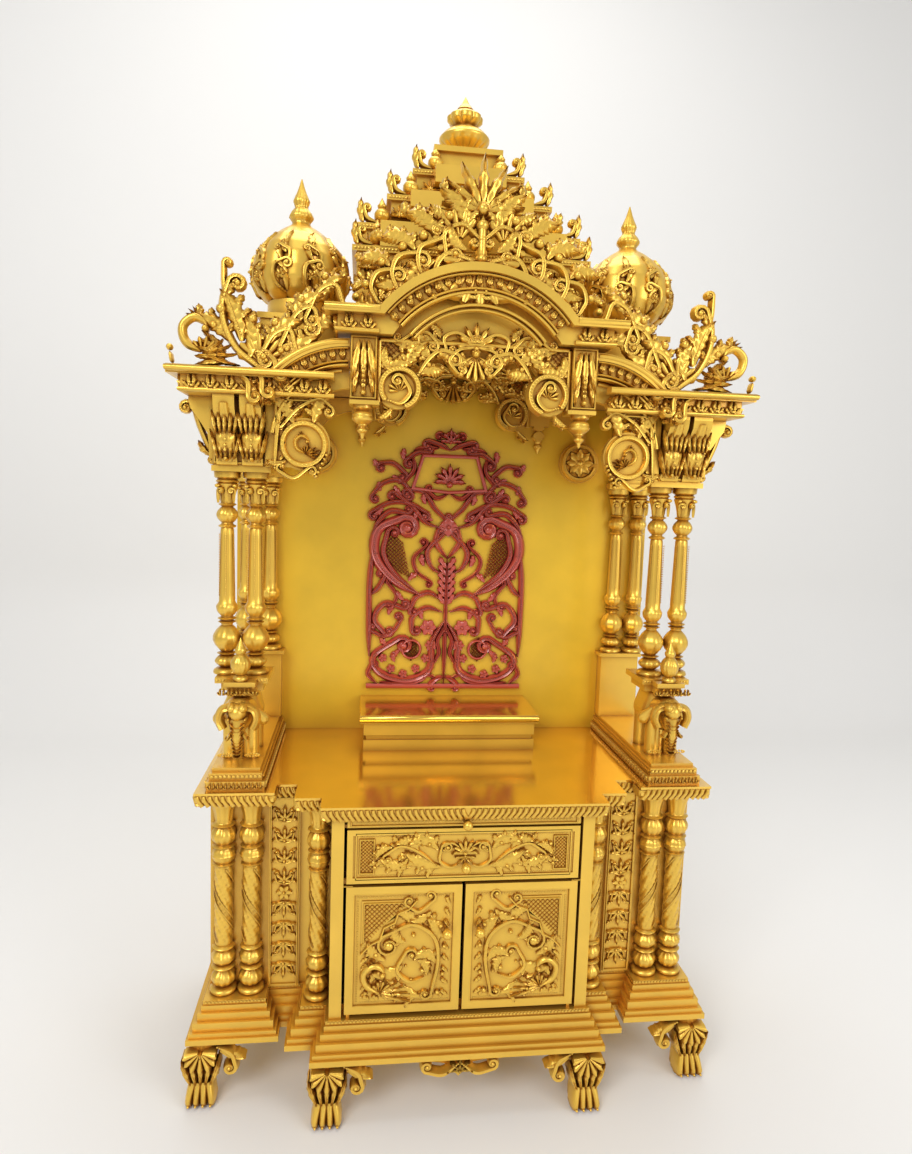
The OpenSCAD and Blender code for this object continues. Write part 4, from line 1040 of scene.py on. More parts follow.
def crest_wing(c):
    """The pierced crest on a wing: peacock at the end, tall scroll, fan and scrolls."""
    y = WING_Y - 2
    z = WING_TOP
    since = len(c.points)
    c.face((0, y, 0))
    peacock(c, 548, z + 62, 62, 1, 11)
    c.strap([(600, z + 4), (604, z + 26)], 4, 8, back=9)
    c.ball((604, z + 34), 7, 12)
    for k in range(5):
        c.leaf((498, z + 10 + 5 * k), 0 + 12 * k, 58, -20, 8, 9, 4, 9)
    c.strap([(444, z + 12), (478, z + 40), (500, z + 84), (504, z + 128), (494, z + 160)],
            9, 13, curl0=(22, 1.25, -1), curl1=(18, 1.15, 1), beads=2.7, back=9)
    c.strap([(468, z + 66), (484, z + 104), (500, z + 150), (502, z + 196)], 6, 11,
            curl1=(9, 1.1, 1), beads=2.2, back=9)
    c.ball((506, z + 112), 11, 15)
    c.ball((520, z + 80), 9, 14)
    for row in ((466, z + 50, 84, 108, -40, 20, 12, 4), (488, z + 50, 60, 84, -60, 18, 12, 4),
                (452, z + 20, 110, 84, -60, 19, 11, 4)):
        acanthus(c, *row)
    c.fan((430, z + 12), 58, 8, 150, 96, 10, 0, 9)
    c.strap([(428, z + 30), (404, z + 70), (374, z + 80), (364, z + 52)], 8, 12,
            curl1=(17, 1.2, 1), curl0=(15, 1.2, -1), beads=2.5, back=9)
    c.strap([(388, z + 56), (362, z + 110), (330, z + 126), (318, z + 96)], 8, 12,
            curl1=(18, 1.2, 1), curl0=(16, 1.2, -1), beads=2.6, back=9)
    c.strap([(340, z + 112), (318, z + 158), (286, z + 172), (272, z + 140)], 8, 12,
            curl1=(17, 1.2, 1), curl0=(15, 1.2, -1), beads=2.6, back=9)
    for row in ((412, z + 50, 110, 84, 80, 19, 12, 4), (366, z + 98, 104, 84, 80, 19, 12, 4),
                (312, z + 140, 96, 70, 90, 17, 12, 4), (396, z + 14, 132, 98, 30, 19, 10, 4),
                (336, z + 66, 124, 84, 30, 18, 10, 4)):
        acanthus(c, *row)
    for px, pz, r in ((402, 92, 10), (352, 140, 10), (306, 186, 9), (446, 96, 10), (390, 38, 9),
                      (296, 112, 10), (270, 122, 9)):
        c.ball((px, z + pz), r, 15)
    c.mirror(since)


def wing_bracket(c):
    """Pierced bracket under the wing's arch: strips, medallion and leaf scrolls."""
    y = COLUMN_Y - 64
    since = len(c.points)
    c.face((0, y, 0))
    c.frame_line(arc(WING_ARCH_X, WING_ARCH_Z, 156, 84, 8, 22), 5, 8, 8, closed=False)
    c.strap([(404, CAPITAL_Z - 2), (400, CAPITAL_Z + 64), (392, EAVE_Z - 14)], 5.5, 10, back=8,
            beads=2.0)
    cx, cz = 346, 1378
    c.ribbon(arc(cx, cz, 43, -50, 330, 40), 7, 12, 8, 0.2)
    c.beads(arc(cx, cz, 43, -50, 330, 34), 2.3, 9)
    peacock(c, cx, cz, 33, 1, 9)
    for row in ((cx + 34, cz - 34, -30, 44, 70, 9, 9, 3),
                (cx - 20, cz + 44, 96, 80, 50, 17, 10, 4),
                (cx + 20, cz + 40, 66, 80, -40, 17, 10, 4)):
        acanthus(c, *row)
    c.strap([(cx + 40, cz + 40), (cx + 12, cz + 72), (cx - 30, cz + 92), (cx - 52, cz + 80)],
            6, 10, curl1=(12, 1.1, 1), curl0=(12, 1.1, 1), beads=2.0, back=8)
    c.strap([(cx - 8, cz - 50), (cx + 20, cz - 70), (cx + 46, cz - 58)], 5.5, 10,
            curl0=(11, 1.1, 1), curl1=(10, 1.0, 1), back=8)
    c.hatch([(372, 1424), (400, 1402), (400, 1462), (340, 1464)], 7, 1.3, 5)
    c.frame_line([(336, 1466), (402, 1466), (402, 1398)], 3, 8, 8, closed=False)
    for k in range(6):
        c.ball((cx - 46 + 4 * k, cz - 20 - 9 * k), 5, 10)
        c.leaf((396, CAPITAL_Z + 14 + 20 * k), 140, 22, -40, 6, 8, 2, 7)
    c.mirror(since)


def fascia_carving(c, y, step=0.0, disc=42.0, back=9):
    """The pierced board under the middle cornice: circular scrolls and volutes."""
    since = len(c.points)
    c.face((0, y, 0))
    top = CENTRE_EAVE
    low = EAVE_Z
    c.frame_line([(196, low - 4), (196, top - 4)], 5, 8, back, closed=False)
    c.frame_line([(0, top - 6), (198, top - 6)], 5, 8, back, closed=False)
    c.slab([(148, top - 26), (196, top - 4), (196, top - 60)], -6, 2)
    c.hatch([(120, top - 8), (193, top - 8), (193, top - 62), (160, top - 30)], 7.5, 1.4, 6)
    cx, cz = 154, low + 26
    c.ribbon(arc(cx, cz, disc - 4, -40, 250, 40), 8, 13, back, 0.2)
    c.beads(arc(cx, cz, disc - 4, -40, 250, 30), 2.7, 10)
    c.strap([(cx + 22, cz - 26), (cx - 4, cz - 30), (cx - 22, cz - 8), (cx - 10, cz + 16)], 6,
            11, curl1=(14, 1.2, -1), beads=2.1, back=back)
    c.fan((cx, cz - 6), 26, 6, 140, 70, 9, 0, back)
    c.strap([(cx - 34, cz + 22), (cx - 54, cz + 56), (cx - 80, cz + 78), (cx - 108, cz + 74)],
            6.5, 12, curl1=(14, 1.2, 1), beads=2.3, back=back)
    c.strap([(8, top - 12), (36, top - 18), (54, top - 40), (42, top - 58)], 6, 12,
            curl1=(13, 1.2, -1), curl0=(8, 1.0, 1), beads=2.2, back=back)
    for row in ((cx - 14, cz + 40, 104, 70, 60, 18, 11, 4),
                (cx - 66, cz + 58, 40, 66, 60, 17, 11, 4),
                (cx - 86, cz + 66, 170, 60, 70, 16, 10, 3),
                (cx - 40, cz + 30, 150, 50, 60, 15, 10, 3),
                (cx + 20, cz + 34, 50, 50, 70, 15, 10, 3),
                (cx + 14, cz - 40, -60, 40, 50, 9, 9, 2)):
        acanthus(c, *row)
    for px, pz in ((44, 36), (72, 28), (96, 50), (30, 66)):
        c.ball((px, top - pz), 7, 13)
    c.mirror(since)
    c.face((0, y, 0))
    palmette(c, 0, top - 14, 52, 90, 12, 7)
    c.fan((0, top - 26), 52, 7, 120, -90, 11, 0, back)
    c.ball((0, top - 24), 9, 16)
    since = len(c.points)
    c.strap([(12, top + 2), (40, top + 16), (66, top + 6), (62, top - 16)], 6, 11,
            curl1=(12, 1.2, -1), curl0=(9, 1.1, -1), beads=2.2, back=back)
    c.strap([(150, top - 4), (128, top + 10), (100, top + 12), (84, top - 2)], 6, 11,
            curl1=(12, 1.2, 1), curl0=(10, 1.1, 1), beads=2.2, back=back)
    for row in ((70, top - 6, 20, 66, -40, 15, 10, 3), (74, top + 4, 70, 34, -60, 12, 10, 2),
                (22, top - 30, -10, 58, 50, 15, 10, 3),
                (168, top - 10, 190, 60, -30, 15, 10, 3),
                (186, low + 62, 150, 60, 50, 15, 10, 3)):
        acanthus(c, *row)
    c.mirror(since)


def pendants(c):
    """Hanging kalash pendants, with a gadrooned bulb and a beaded tip."""
    since = len(c.points)
    c.place = lambda p: p
    h = np.array([0, 6, 12, 16, 24, 34, 44, 52, 58, 62, 66, 72, 78, 86, 94, 102, 110, 116.0])
    r = np.array([1, 3.5, 4, 3, 6, 7.5, 5.5, 3, 8, 14, 17, 20, 21, 18.5, 11, 13, 17, 19.0])

    def relief(a, z):
        return np.where((z > 60) & (z < 94), 1.8 * np.abs(np.cos(a * 6)) - 0.8, 0.0)
    hh = np.linspace(0.2, 116, 60)
    c.lathe(POST_X - 27, FASCIA_Y + 8, 1391, np.interp(hh, h, r), hh * 0.62,
            relief, 40)
    c.face((POST_X - 27, FASCIA_Y - 12, 0))
    for k in range(3):
        c.leaf(((k - 1) * 9.0, CENTRE_EAVE - 10), -90 + 9 * (k - 1), 84, 0, 11, 12, 5, 8)
        c.leaf(((k - 1) * 11.0, CENTRE_EAVE - 50), -90 + 7 * (k - 1), 70, 0, 9, 10, 4, 8)
    c.beads([(0, EAVE_Z + 62 - 9 * k) for k in range(5)], 4.4, 8)
    c.ball((0, EAVE_Z + 12), 7, 16)
    c.frame_line([(-24, EAVE_Z + 2), (24, EAVE_Z + 2), (24, CENTRE_EAVE - 4),
                  (-24, CENTRE_EAVE - 4)], 2.5, 5)
    c.mirror(since)


def cornice_band(c, ring, z, out, h, leaf_size):
    """Torus, fillet and a leafy hollow carried round a cornice outline."""
    stand_moulding(c, ring, z, [(-6, h), (out, h), (out + 4, h - 2.5), (out + 5, h - 7),
                                (out + 3, h - 12), (out - 3, h - 14), (-6, h - 14)])
    stand_moulding(c, ring, z, [(-6, 9), (4, 9), (6, 6), (5, 2), (2, 0.3), (-6, 0.3)])
    for x, y, dx, dy, gap in along(ring[0], leaf_size * 1.25, 4):
        c.face((x, y, 0), (dx, dy, 0))
        for m in (1, -1):
            c.leaf((m * 1.5, z + 8), 90 - m * 22, leaf_size, m * 48, leaf_size * 0.2, 8, 3,
                   base=2, count=11)
            c.leaf((m * 4, z + 8), 90 - m * 60, leaf_size * 0.62, m * 50, leaf_size * 0.16, 6,
                   2, base=2, count=9)
        c.beads([(0, z + 12), (-3.4, z + 18), (3.4, z + 18)], 2.6, 7)


def lattice_work(c):
    """The red pierced lattice: scrolls, hearts, bracket plaque, flowers and paisley."""
    since = len(c.points)
    c.face((0, LATTICE_LO[1] - 1, 0))
    k = dict(back=5, groove=0.55)
    for pts, w, a, b, bead in (
            ([(0, 1450), (12, 1436), (22, 1440)], 5, None, (9, 1.1, -1), 0),
            ([(0, 1400), (24, 1412), (50, 1420)], 6, None, (13, 1.1, -1), 1.6),
            ([(60, 1392), (84, 1392), (108, 1376)], 6, (11, 1.1, -1), (13, 1.1, -1), 1.6),
            ([(118, 1340), (146, 1362), (172, 1362)], 6, (12, 1.1, 1), (13, 1.1, -1), 1.6),
            ([(100, 1290), (130, 1320), (172, 1310), (196, 1282)], 6, (12, 1.1, 1), (12, 1.1,
                -1), 1.6),
            ([(60, 1240), (104, 1262), (152, 1262), (194, 1240)], 6, (12, 1.1, 1), (13, 1.1,
                -1), 1.6),
            ([(62, 1021), (130, 1056), (186, 1120), (182, 1190), (130, 1219)], 10, None, (30,
                1.3, 1), 2.4),
            ([(78, 1032), (134, 1076), (166, 1130), (158, 1180)], 6, None, (18, 1.0, 1), 1.8),
            ([(0, 1120), (30, 1160), (26, 1190)], 6, None, (9, 1.0, 1), 0),
            ([(198, 862), (200, 960), (200, 1060), (192, 1160)], 6, None, None, 1.8),
            ([(200, 1020), (178, 1040), (164, 1066)], 6, None, (13, 1.1, -1), 1.5),
            ([(116, 990), (160, 1000), (186, 960), (160, 924)], 7, (13, 1.1, -1), (13, 1.1,
                -1), 1.6),
            ([(0, 960), (34, 900), (38, 826), (98, 797), (168, 816), (187, 860), (130, 902)],
                8, None, (24, 1.2, 1), 2.0),
            ([(0, 808), (20, 800), (34, 786)], 6, None, (9, 1, -1), 0),
            ([(176, 788), (200, 812), (192, 836)], 5, None, (10, 1, 1), 0),
            ([(30, 1404), (70, 1404), (96, 1396)], 5, None, None, 0),
            ([(100, 1392), (92, 1350), (112, 1322)], 5, None, (11, 1.1, 1), 0),
            ([(0, 1290), (30, 1276), (54, 1292)], 5, None, (9, 1.1, 1), 0),
            ([(10, 1226), (36, 1250), (66, 1290), (104, 1296)], 6, (10, 1.1, -1), (12, 1.1,
                -1), 1.5),
            ([(20, 1200), (60, 1214), (92, 1250), (136, 1284)], 6, None, (12, 1.1, -1), 1.5),
            ([(16, 1180), (52, 1140), (40, 1096), (8, 1080)], 6, (12, 1.1, -1), None, 1.5),
            ([(60, 1150), (88, 1120), (78, 1084), (46, 1062)], 5, (12, 1.1, -1), (9, 1.1, 1), 0),
            ([(12, 1010), (44, 1030), (78, 1018), (92, 990)], 6, None, (13, 1.1, -1), 1.5),
            ([(10, 980), (50, 990), (86, 966), (88, 936)], 6, None, (13, 1.1, -1), 1.5),
            ([(6, 930), (20, 902), (14, 872), (24, 850)], 5, (8, 1.1, 1), (8, 1.1, 1), 0),
            ([(118, 956), (134, 930), (162, 914), (190, 926)], 6, (11, 1.1, -1), (11, 1.1, 1),
                1.5),
            ([(152, 1052), (130, 1022), (138, 996)], 5, (9, 1.1, 1), (10, 1.1, 1), 0),
            ([(196, 1180), (180, 1214), (150, 1240), (112, 1236)], 6, None, (11, 1.1, -1), 1.5),
            ([(14, 800), (44, 812), (56, 800), (84, 790), (130, 788), (170, 792)], 5, None,
                None, 0)):
        c.strap(pts, w * 1.35, 7, curl0=a, curl1=b, beads=bead, **k)
    for x, z, r, n in ((45, 938, 22, 6), (38, 891, 15, 6), (50, 856, 12, 5), (75, 828, 12, 5),
                       (108, 814, 12, 5), (140, 828, 12, 5), (162, 856, 12, 5)):
        c.rosette((x, z), r, n, 6, back=5)
    for j in range(6):
        c.leaf((0, 1000 + 19 * j), 42, 38, 40, 9, 6, 2, 5)
    for u, v, way, size in ((60, 1388, 60, 34), (118, 1370, 70, 32), (178, 1350, 30, 28),
                            (150, 1330, 200, 34), (120, 1280, 30, 36), (170, 1250, -60, 34),
                            (60, 1260, 60, 30), (40, 1220, 10, 34), (90, 1216, 100, 30),
                            (176, 1100, 60, 34), (100, 1060, 120, 34), (60, 1100, 60, 34),
                            (110, 1010, 30, 34), (150, 970, 100, 34), (60, 960, 60, 30),
                            (24, 880, 60, 26), (120, 880, -60, 30), (150, 890, 30, 30),
                            (60, 812, 150, 26), (130, 846, 60, 26), (176, 1290, 60, 26)):
        c.leaf((u, v), way, size, 50, 9, 6, 3, 5)
    c.hatch([(96, 1066), (150, 1096), (164, 1140), (150, 1190), (116, 1160)], 7, 1.4, 3)
    c.hatch([(88, 846), (106, 866), (106, 900), (88, 916), (72, 896), (72, 864)], 6, 1.2, 3)
    c.ribbon(arc(88, 880, 24, -90, 270, 28), 4, 6, 5)
    c.mirror(since)
    c.strap([(0, 785), (0, 900), (0, 1010), (0, 1120)], 6, 7, **k)
    c.rosette((0, 1203), 24, 4, 8, back=5)
    c.frame_line([(-95, 1300), (-70, 1385), (70, 1385), (95, 1300), (0, 1292)], 4.5, 6, 5)
    palmette(c, 0, 1316, 50, 90, 8, 7)
    c.ball((0, 1312), 9, 11)
    c.frame_line([(-204, 782), (204, 782)], 6, 6, 5, closed=False)
    palmette(c, 0, 1420, 36, 90, 7, 5)


def dome_work(c):
    """Ribbed domes with leafy scrolls, rosettes, neck and tip."""
    since = len(c.points)
    z0, z1 = DOME_LO[2], DOME_HI[2]
    k = (z1 - z0) / 266.0
    h = np.array([0, 6, 18, 40, 66, 92, 116, 138, 156, 168, 176, 186, 196, 206, 220, 240, 266.0])
    r = np.array([66, 76, 90, 101, 103, 98, 86, 66, 42, 22, 18, 26, 21, 12, 17, 9, 1.0])
    hh = np.linspace(0.2, 265.8, 70)

    def relief(a, z):
        gore = 9.0 * (np.abs(np.cos(a * 5)) ** 0.5 - 0.85)
        return gore * np.clip((160 - z) / 60, 0, 1) + np.where(
            z > 178, 1.5 * np.abs(np.cos(a * 6)) * np.clip((250 - z) / 30, 0, 1), 0)
    c.lathe(DOME_X, DOME_Y, z0, np.interp(hh, h, r), hh * k, relief, 80)
    for j in range(10):
        a = (j + 0.5) * 2 * PI / 10
        c.around(DOME_X, DOME_Y, z0, lambda v: np.interp(v, h, r) - 1.5, a)
        c.strap([(-2, 12), (15, 32), (14, 62), (-4, 72)], 5.5, 9, curl1=(11, 1.2, 1), beads=2)
        c.strap([(-14, 62), (-16, 90), (2, 104)], 5, 9, curl1=(8, 1.1, -1), beads=1.8)
        for u, v, way, size, bend in ((-6, 14, 100, 46, -50), (8, 18, 60, 34, 60),
                                      (-12, 44, 70, 34, -60), (0, 74, 60, 40, 50),
                                      (2, 96, 100, 46, 10), (-10, 86, 50, 30, 60)):
            c.leaf((u, v), way, size, bend, 9, 8, 4, base=-1)
        c.rosette((2, 44), 11, 6, 9)
    c.mirror(since)


def kalash(c, x, y, z, r, h, petals=6, sides=24, cut=None):
    """A ribbed pot with a pointed lid, of greatest radius r and height h."""
    t = np.array([0, .04, .10, .14, .20, .32, .44, .56, .62, .66, .72, .80, .90, 1.0])
    w = np.array([.72, .80, .74, .46, .74, .98, 1.0, .74, .46, .56, .62, .40, .20, .02])
    tt = np.linspace(0.002, 1, 30)

    def relief(a, v):
        band = np.clip(np.sin(PI * np.clip((v / h - 0.16) / 0.42, 0, 1)), 0, 1)
        return 0.12 * r * (np.abs(np.cos(a * petals / 2)) ** 0.6 - 0.6) * band
    c.lathe(x, y, z, np.interp(tt, t, w) * r, tt * h, relief, sides, cut)


def finial_work(c):
    """The large finial: bowl with gadroons, domed cap, petalled melon and cone."""
    z0, h = FINIAL_LO[2], FINIAL_HI[2] - FINIAL_LO[2]
    y = (FINIAL_LO[1] + FINIAL_HI[1]) / 2
    r = FINIAL_HI[0]
    t = np.array([0, .03, .07, .12, .17, .26, .33, .36, .38, .44, .50, .53, .56, .62, .69,
        .75, .78, .80, .84, .88, 1.0])
    w = np.array([.50, .56, .40, .30, .52, .88, 1.0, 1.0, .96, .82, .56, .38, .48, .66, .68,
        .48, .30, .34, .26, .17, .01])
    tt = np.linspace(0.001, 1, 96)

    def relief(a, v):
        f = v / h
        low = np.sin(PI * np.clip((f - 0.13) / 0.19, 0, 1))
        mid = np.sin(PI * np.clip((f - 0.54) / 0.21, 0, 1))
        return 5.0 * (np.abs(np.cos(a * 8)) ** 0.6 - 0.6) * low + 6.0 * (
            np.abs(np.cos(a * 4)) ** 0.6 - 0.6) * mid
    c.lathe(0, y, z0, np.interp(tt, t, w) * (r - 1), tt * h, relief, 96)


def tower_trim(c):
    """Leaf points, small pots and friezes on the four stages of the tower."""
    since = len(c.points)
    spots = ((256, -57, 1797, 198, -59), (246, -1, 1861, 134, -17), (184, 23, 1933, 79, 25),
             (127, 64, 2007, 70, 74))
    for half, y, z, block, by in spots:
        c.face((half - 20, y + 4, 0))
        c.strap([(-22, z + 2), (0, z + 10), (6, z + 26)], 6, 9, curl1=(8, 1.1, 1), back=7)
        c.leaf((8, z), 72, 50, 30, 9, 9, 3, 7)
        kalash(c, half - 52, y + 26, z, 17, 62)
        c.face((0, y - 0.5, 0))
        c.bead_line((4, z - 6), (half - 4, z - 6), 3.0)
        for k in range(int(half // 34)):
            palmette(c, 20 + 34 * k, z - 46, 24, 90, 6, 5)
    c.face((0, -47, 0))
    leaf_row(c, (0, CENTRE_TOP + 8), (246, CENTRE_TOP + 8), 42, 52, 7)
    c.face((0, -47, 0))
    leaf_row(c, (0, CENTRE_TOP + 70), (246, CENTRE_TOP + 70), 42, 52, 7)
    c.mirror(since)


def rail_work(c):
    """Leaf bands and beads on the side rails, and friezes on the plates."""
    since = len(c.points)
    z0 = RAIL_LO[2]
    c.face((0, RAIL_LO[1], 0))
    leaf_row(c, (PIER_X + 4, z0 + 3), (HALF_W - 4, z0 + 3), 16, 15, 4, beads=False)
    c.bead_line((PIER_X + 6, z0 + 27), (HALF_W - 6, z0 + 27), 4.2, 2.1, -7)
    for x, y0, y1, sign in ((PIER_X, RAIL_LO[1], RAIL_HI[1], -1),
                            (HALF_W, RAIL_LO[1], RAIL_HI[1], 1)):
        c.face((x, 0, 0), (0, sign, 0))
        leaf_row(c, (sign * y0 + sign * 4, z0 + 3), (sign * y1 - sign * 4, z0 + 3), 16, 15, 4,
                 beads=False)
        c.bead_line((sign * y0 + sign * 10, z0 + 27), (sign * y1 - sign * 6, z0 + 27), 4.2,
            2.1, -5)
    zp, x0, x1 = PLATE_LO[2], 427.5, 515.5
    c.face((0, COLUMN_Y - 50, 0))
    leaf_row(c, (x0 + 2, zp + 3), (x1 - 2, zp + 3), 16, 15, 5, 38, beads=False)
    c.face((0, COLUMN_Y - 50, 0))
    c.bead_line((418, zp + 25), (525, zp + 25), 3, 2.2)
    c.face((0, URN_LO[1], 0))
    leaf_row(c, (446, zp + 2), (495, zp + 2), 13, 12, 4, beads=False)
    c.mirror(since)


def elephant_trim(c):
    """Forehead, trunk rings, ears, tusks, bracelets and toes of an elephant."""
    since = len(c.points)
    x, z = (ELEPHANT_LO[0] + ELEPHANT_HI[0]) / 2, ELEPHANT_LO[2]
    y = ELEPHANT_LO[1]
    c.face((x, y + 16, 0))
    for k in range(9):
        c.ribbon(arc(0, z + 96 - 9 * k, 15 - k * 0.8, -160, -20, 9), 2.2, 16 - k * 0.6, 6)
    c.ball((0, z + 112), 20, 22)
    c.ball((-11, z + 122), 11, 22)
    c.ball((11, z + 122), 11, 22)
    for m in (1, -1):
        c.ribbon(spline([(m * 14, z + 122), (m * 32, z + 116), (m * 38, z + 96),
                         (m * 30, z + 76)], 5), 9, 7, 8, 0.5)
        c.strap([(m * 12, z + 70), (m * 20, z + 56), (m * 24, z + 60)], 4, 16, groove=0)
        c.ball((m * 17, z + 100), 4, 19)
        c.beads(arc(m * 28, z + 10, 14, 0, 340, 14) * [1, 0.2] + [0, z * 0.8 + 12], 2.6, -18)
    c.mirror(since)


def table_edge(c):
    """Slanted lobes under the tabletop's edge, mirrored at the middle, and the beads
    on the plinth's top."""
    ring = plan_outline()
    z = TABLE_LO[2]
    pts = ring[0] + ring[1] * 17.0
    for x, y, dx, dy, gap in along(pts, 12.0, 1):
        c.face((x, y, 0), (dx, dy, 0))
        lean = 5.5 if x > 0 else -5.5
        c.ribbon(np.array([(-lean, z - 3), (-lean * 0.2, z + 4), (lean * 0.6, z + 12),
                           (lean, z + 20)]), 5.6, np.array([2.5, 6, 9.5, 8.0]), 12, 0, across=7)
    zb = PLINTH_HI[2]
    for x, y, dx, dy, gap in along(ring[0] + ring[1] * 6.5, 7.4, 3):
        c.face((x, y, 0), (dx, dy, 0))
        c.beads([(0, zb - 4)], 3.1)


def tray_beads(c):
    c.face((0, CENTRE_Y + 0.5, 0))
    z = (TRAY_LO[2] + TRAY_HI[2]) / 2
    c.bead_line((-222, z), (222, z), 2.9)
    c.frame_line([(-232, z - 6), (232, z - 6), (232, z + 6), (-232, z + 6)], 1.6, 3)


def feet_work(c):
    """Toes, claws and hair on the paws, with leafy scrolls beside them."""
    since = len(c.points)
    for x, y, up in ((CENTRE_X, CENTRE_Y - 26, 0), (HALF_W + 5, PIER_Y - 32, 0)):
        c.face((x, y, 0))
        for k in range(4):
            u = (k - 1.5) * 15
            c.ribbon(np.array([(u, 3), (u * 1.02, 14), (u * 0.9, 30), (u * 0.7, 48)]), 8.4,
                     np.array([16, 22, 15, 6.0]), 20, 0, across=9)
            c.ball((u, 8), 5, 26)
        for k in range(5):
            c.leaf(((k - 2) * 10.0, 44), 90 - (k - 2) * 12, 64, (k - 2) * 10, 8, 12, 4, 22)
        c.fan((0, 118), 42, 7, 150, -90, 10, 8, 20)
        c.strap([(-34, 126), (-62, 110), (-70, 88)], 7, 10, curl1=(14, 1.2, 1), back=16,
                beads=2.2)
        c.leaf((-40, 118), 215, 56, -40, 11, 9, 4, 16)
    c.face((0, CENTRE_Y - 26, 0))
    c.strap([(4, 118), (34, 96), (66, 102)], 6, 9, curl1=(12, 1.2, 1), back=14, beads=2.0)
    palmette(c, 0, 100, 32, 90, 8, 5)
    c.mirror(since)


# ---------------------------------------------------------------------------
# Pieces
# ---------------------------------------------------------------------------


class ShrineSizes(bpy.types.PropertyGroup):
    """Sizes of the stage and the light."""
    floor_size: FloatProperty(name="Floor size", description="Width of the floor",
                              default=14.0, unit="LENGTH")
    key_power: FloatProperty(name="Key light", description="Power of the large light",
                             default=150.0, subtype="POWER")


class ShrineColours(bpy.types.PropertyGroup):
    """Colours of the surroundings."""
    floor: FloatVectorProperty(name="Floor", description="Colour of the floor and wall",
                               default=(0.80, 0.79, 0.77), size=3, subtype="COLOR")


class Piece:
    """What all the piece operators share: each draws with a Carving and builds it."""
    bl_options = {"REGISTER"}
    made = ()

    def execute(self, context):
        for name, draw, body, replaced, material, slot in self.made:
            c = Carving()
            draw(c)
            c.build(name, material, body, replaced)
        return {"FINISHED"}


G, P, R = "carved gold", "polished gold", "lattice red"


def base_columns(c):
    since = len(c.points)
    base_column(c, CENTRE_X + 28, MAIN_Y - 46, 18)
    for x in (PIER_MID - 29, PIER_MID + 29):
        base_column(c, x, MAIN_Y - 12, 19, MAIN_Y)
    c.mirror(since)


def front_columns(c):
    since = len(c.points)
    for x in (COLUMN_X - 30, COLUMN_X + 30):
        upper_column(c, x, COLUMN_Y, FRONT_COL_LO[2], FRONT_COL_HI[2] - FRONT_COL_LO[2])
    c.mirror(since)


def rear_columns(c):
    since = len(c.points)
    for x in (COLUMN_X - 29, COLUMN_X + 29):
        upper_column(c, x, PANEL_Y - 13, REAR_COL_LO[2], REAR_COL_HI[2] - REAR_COL_LO[2],
                     17, 14, PANEL_Y)
    c.mirror(since)


def urns(c):
    since = len(c.points)
    x, y = PIER_MID, (URN_LO[1] + URN_HI[1]) / 2
    kalash(c, x, y, URN_LO[2], (URN_HI[1] - URN_LO[1]) / 2 - 1, URN_HI[2] - URN_LO[2], 12, 60)
    c.mirror(since)


def wing_front(c):
    """The leafy cornices of the wings, front and side."""
    since = len(c.points)
    x1 = WING_HALF
    ring = mitred(np.array([(CENTRE_HALF + 6, WING_Y), (x1, WING_Y), (x1, PANEL_Y - 4)]), False)
    cornice_band(c, ring, EAVE_Z, 22, 50, 30)
    c.mirror(since)


def centre_front(c):
    """The middle cornice, and the arch over it with its cove and leaf row."""
    since = len(c.points)
    ring = mitred(np.array([(ARCH_HALF + 2, CANOPY_Y), (CENTRE_HALF, CANOPY_Y),
                            (CENTRE_HALF, PANEL_Y - 20)]), False)
    cornice_band(c, ring, CENTRE_EAVE, 20, 50, 28)
    c.mirror(since)
    a = math.degrees(math.asin(ARCH_HALF / ARCH_R))
    c.face((0, CANOPY_Y, 0))
    for r, w, h in ((-6, 8, 20), (-18, 4, 13), (-46, 3.5, 11), (-53, 4, 8), (-78, 4, 9),
                    (-87, 3, 6)):
        c.ribbon(arc(0, ARCH_Z, ARCH_R + r, 90 - a, 90 + a, 60), w, h, 4, rim=0.3)
    arch_leaves(c, 0, ARCH_Z, ARCH_R - 43, 90 - a + 3, 90 + a, 5.4)


def arch_leaves(c, cx, cz, radius, first, last, step, size=24):
    """Pairs of leaves with a bead cluster, standing along an arc."""
    for deg in np.arange(first, last, step):
        q = math.radians(deg)
        x, z = cx + radius * math.cos(q), cz + radius * math.sin(q)
        for m in (1, -1):
            c.leaf((x, z), deg - m * 20, size, m * 44, 6, 9, 3, count=11)
        c.ball((x + 7 * math.cos(q), z + 7 * math.sin(q)), 3.2, 10)


def wing_arch(c):
    """The quarter arch of a wing's cornice and the drooping leaves at its foot."""
    since = len(c.points)
    c.face((0, WING_Y - 1, 0))
    for r, w, h in ((-6, 8, 18), (-17, 3.5, 12), (-43, 3, 10), (-50, 3.5, 7)):
        c.ribbon(arc(WING_ARCH_X, WING_ARCH_Z, WING_ARCH_R + r, 89, 40, 40), w, h, 4, rim=0.3)
    arch_leaves(c, WING_ARCH_X, WING_ARCH_Z, WING_ARCH_R - 40, 42, 89, 6.2)
    for k, (x, z, turn) in enumerate(((440, EAVE_Z + 24, 1), (414, EAVE_Z + 58, 1),
                                      (466, EAVE_Z + 14, 1))):
        c.strap([(x + 10, z + 26), (x - 12, z + 10), (x - 14, z - 12)], 8, 18,
                curl1=(13, 1.2, -turn), beads=2.5)
        acanthus(c, x - 4, z + 18, 250 - 12 * k, 66, 30, 12, 14, 3)
    c.mirror(since)


def doors(hand):
    return lambda c: door_carving(c, hand)


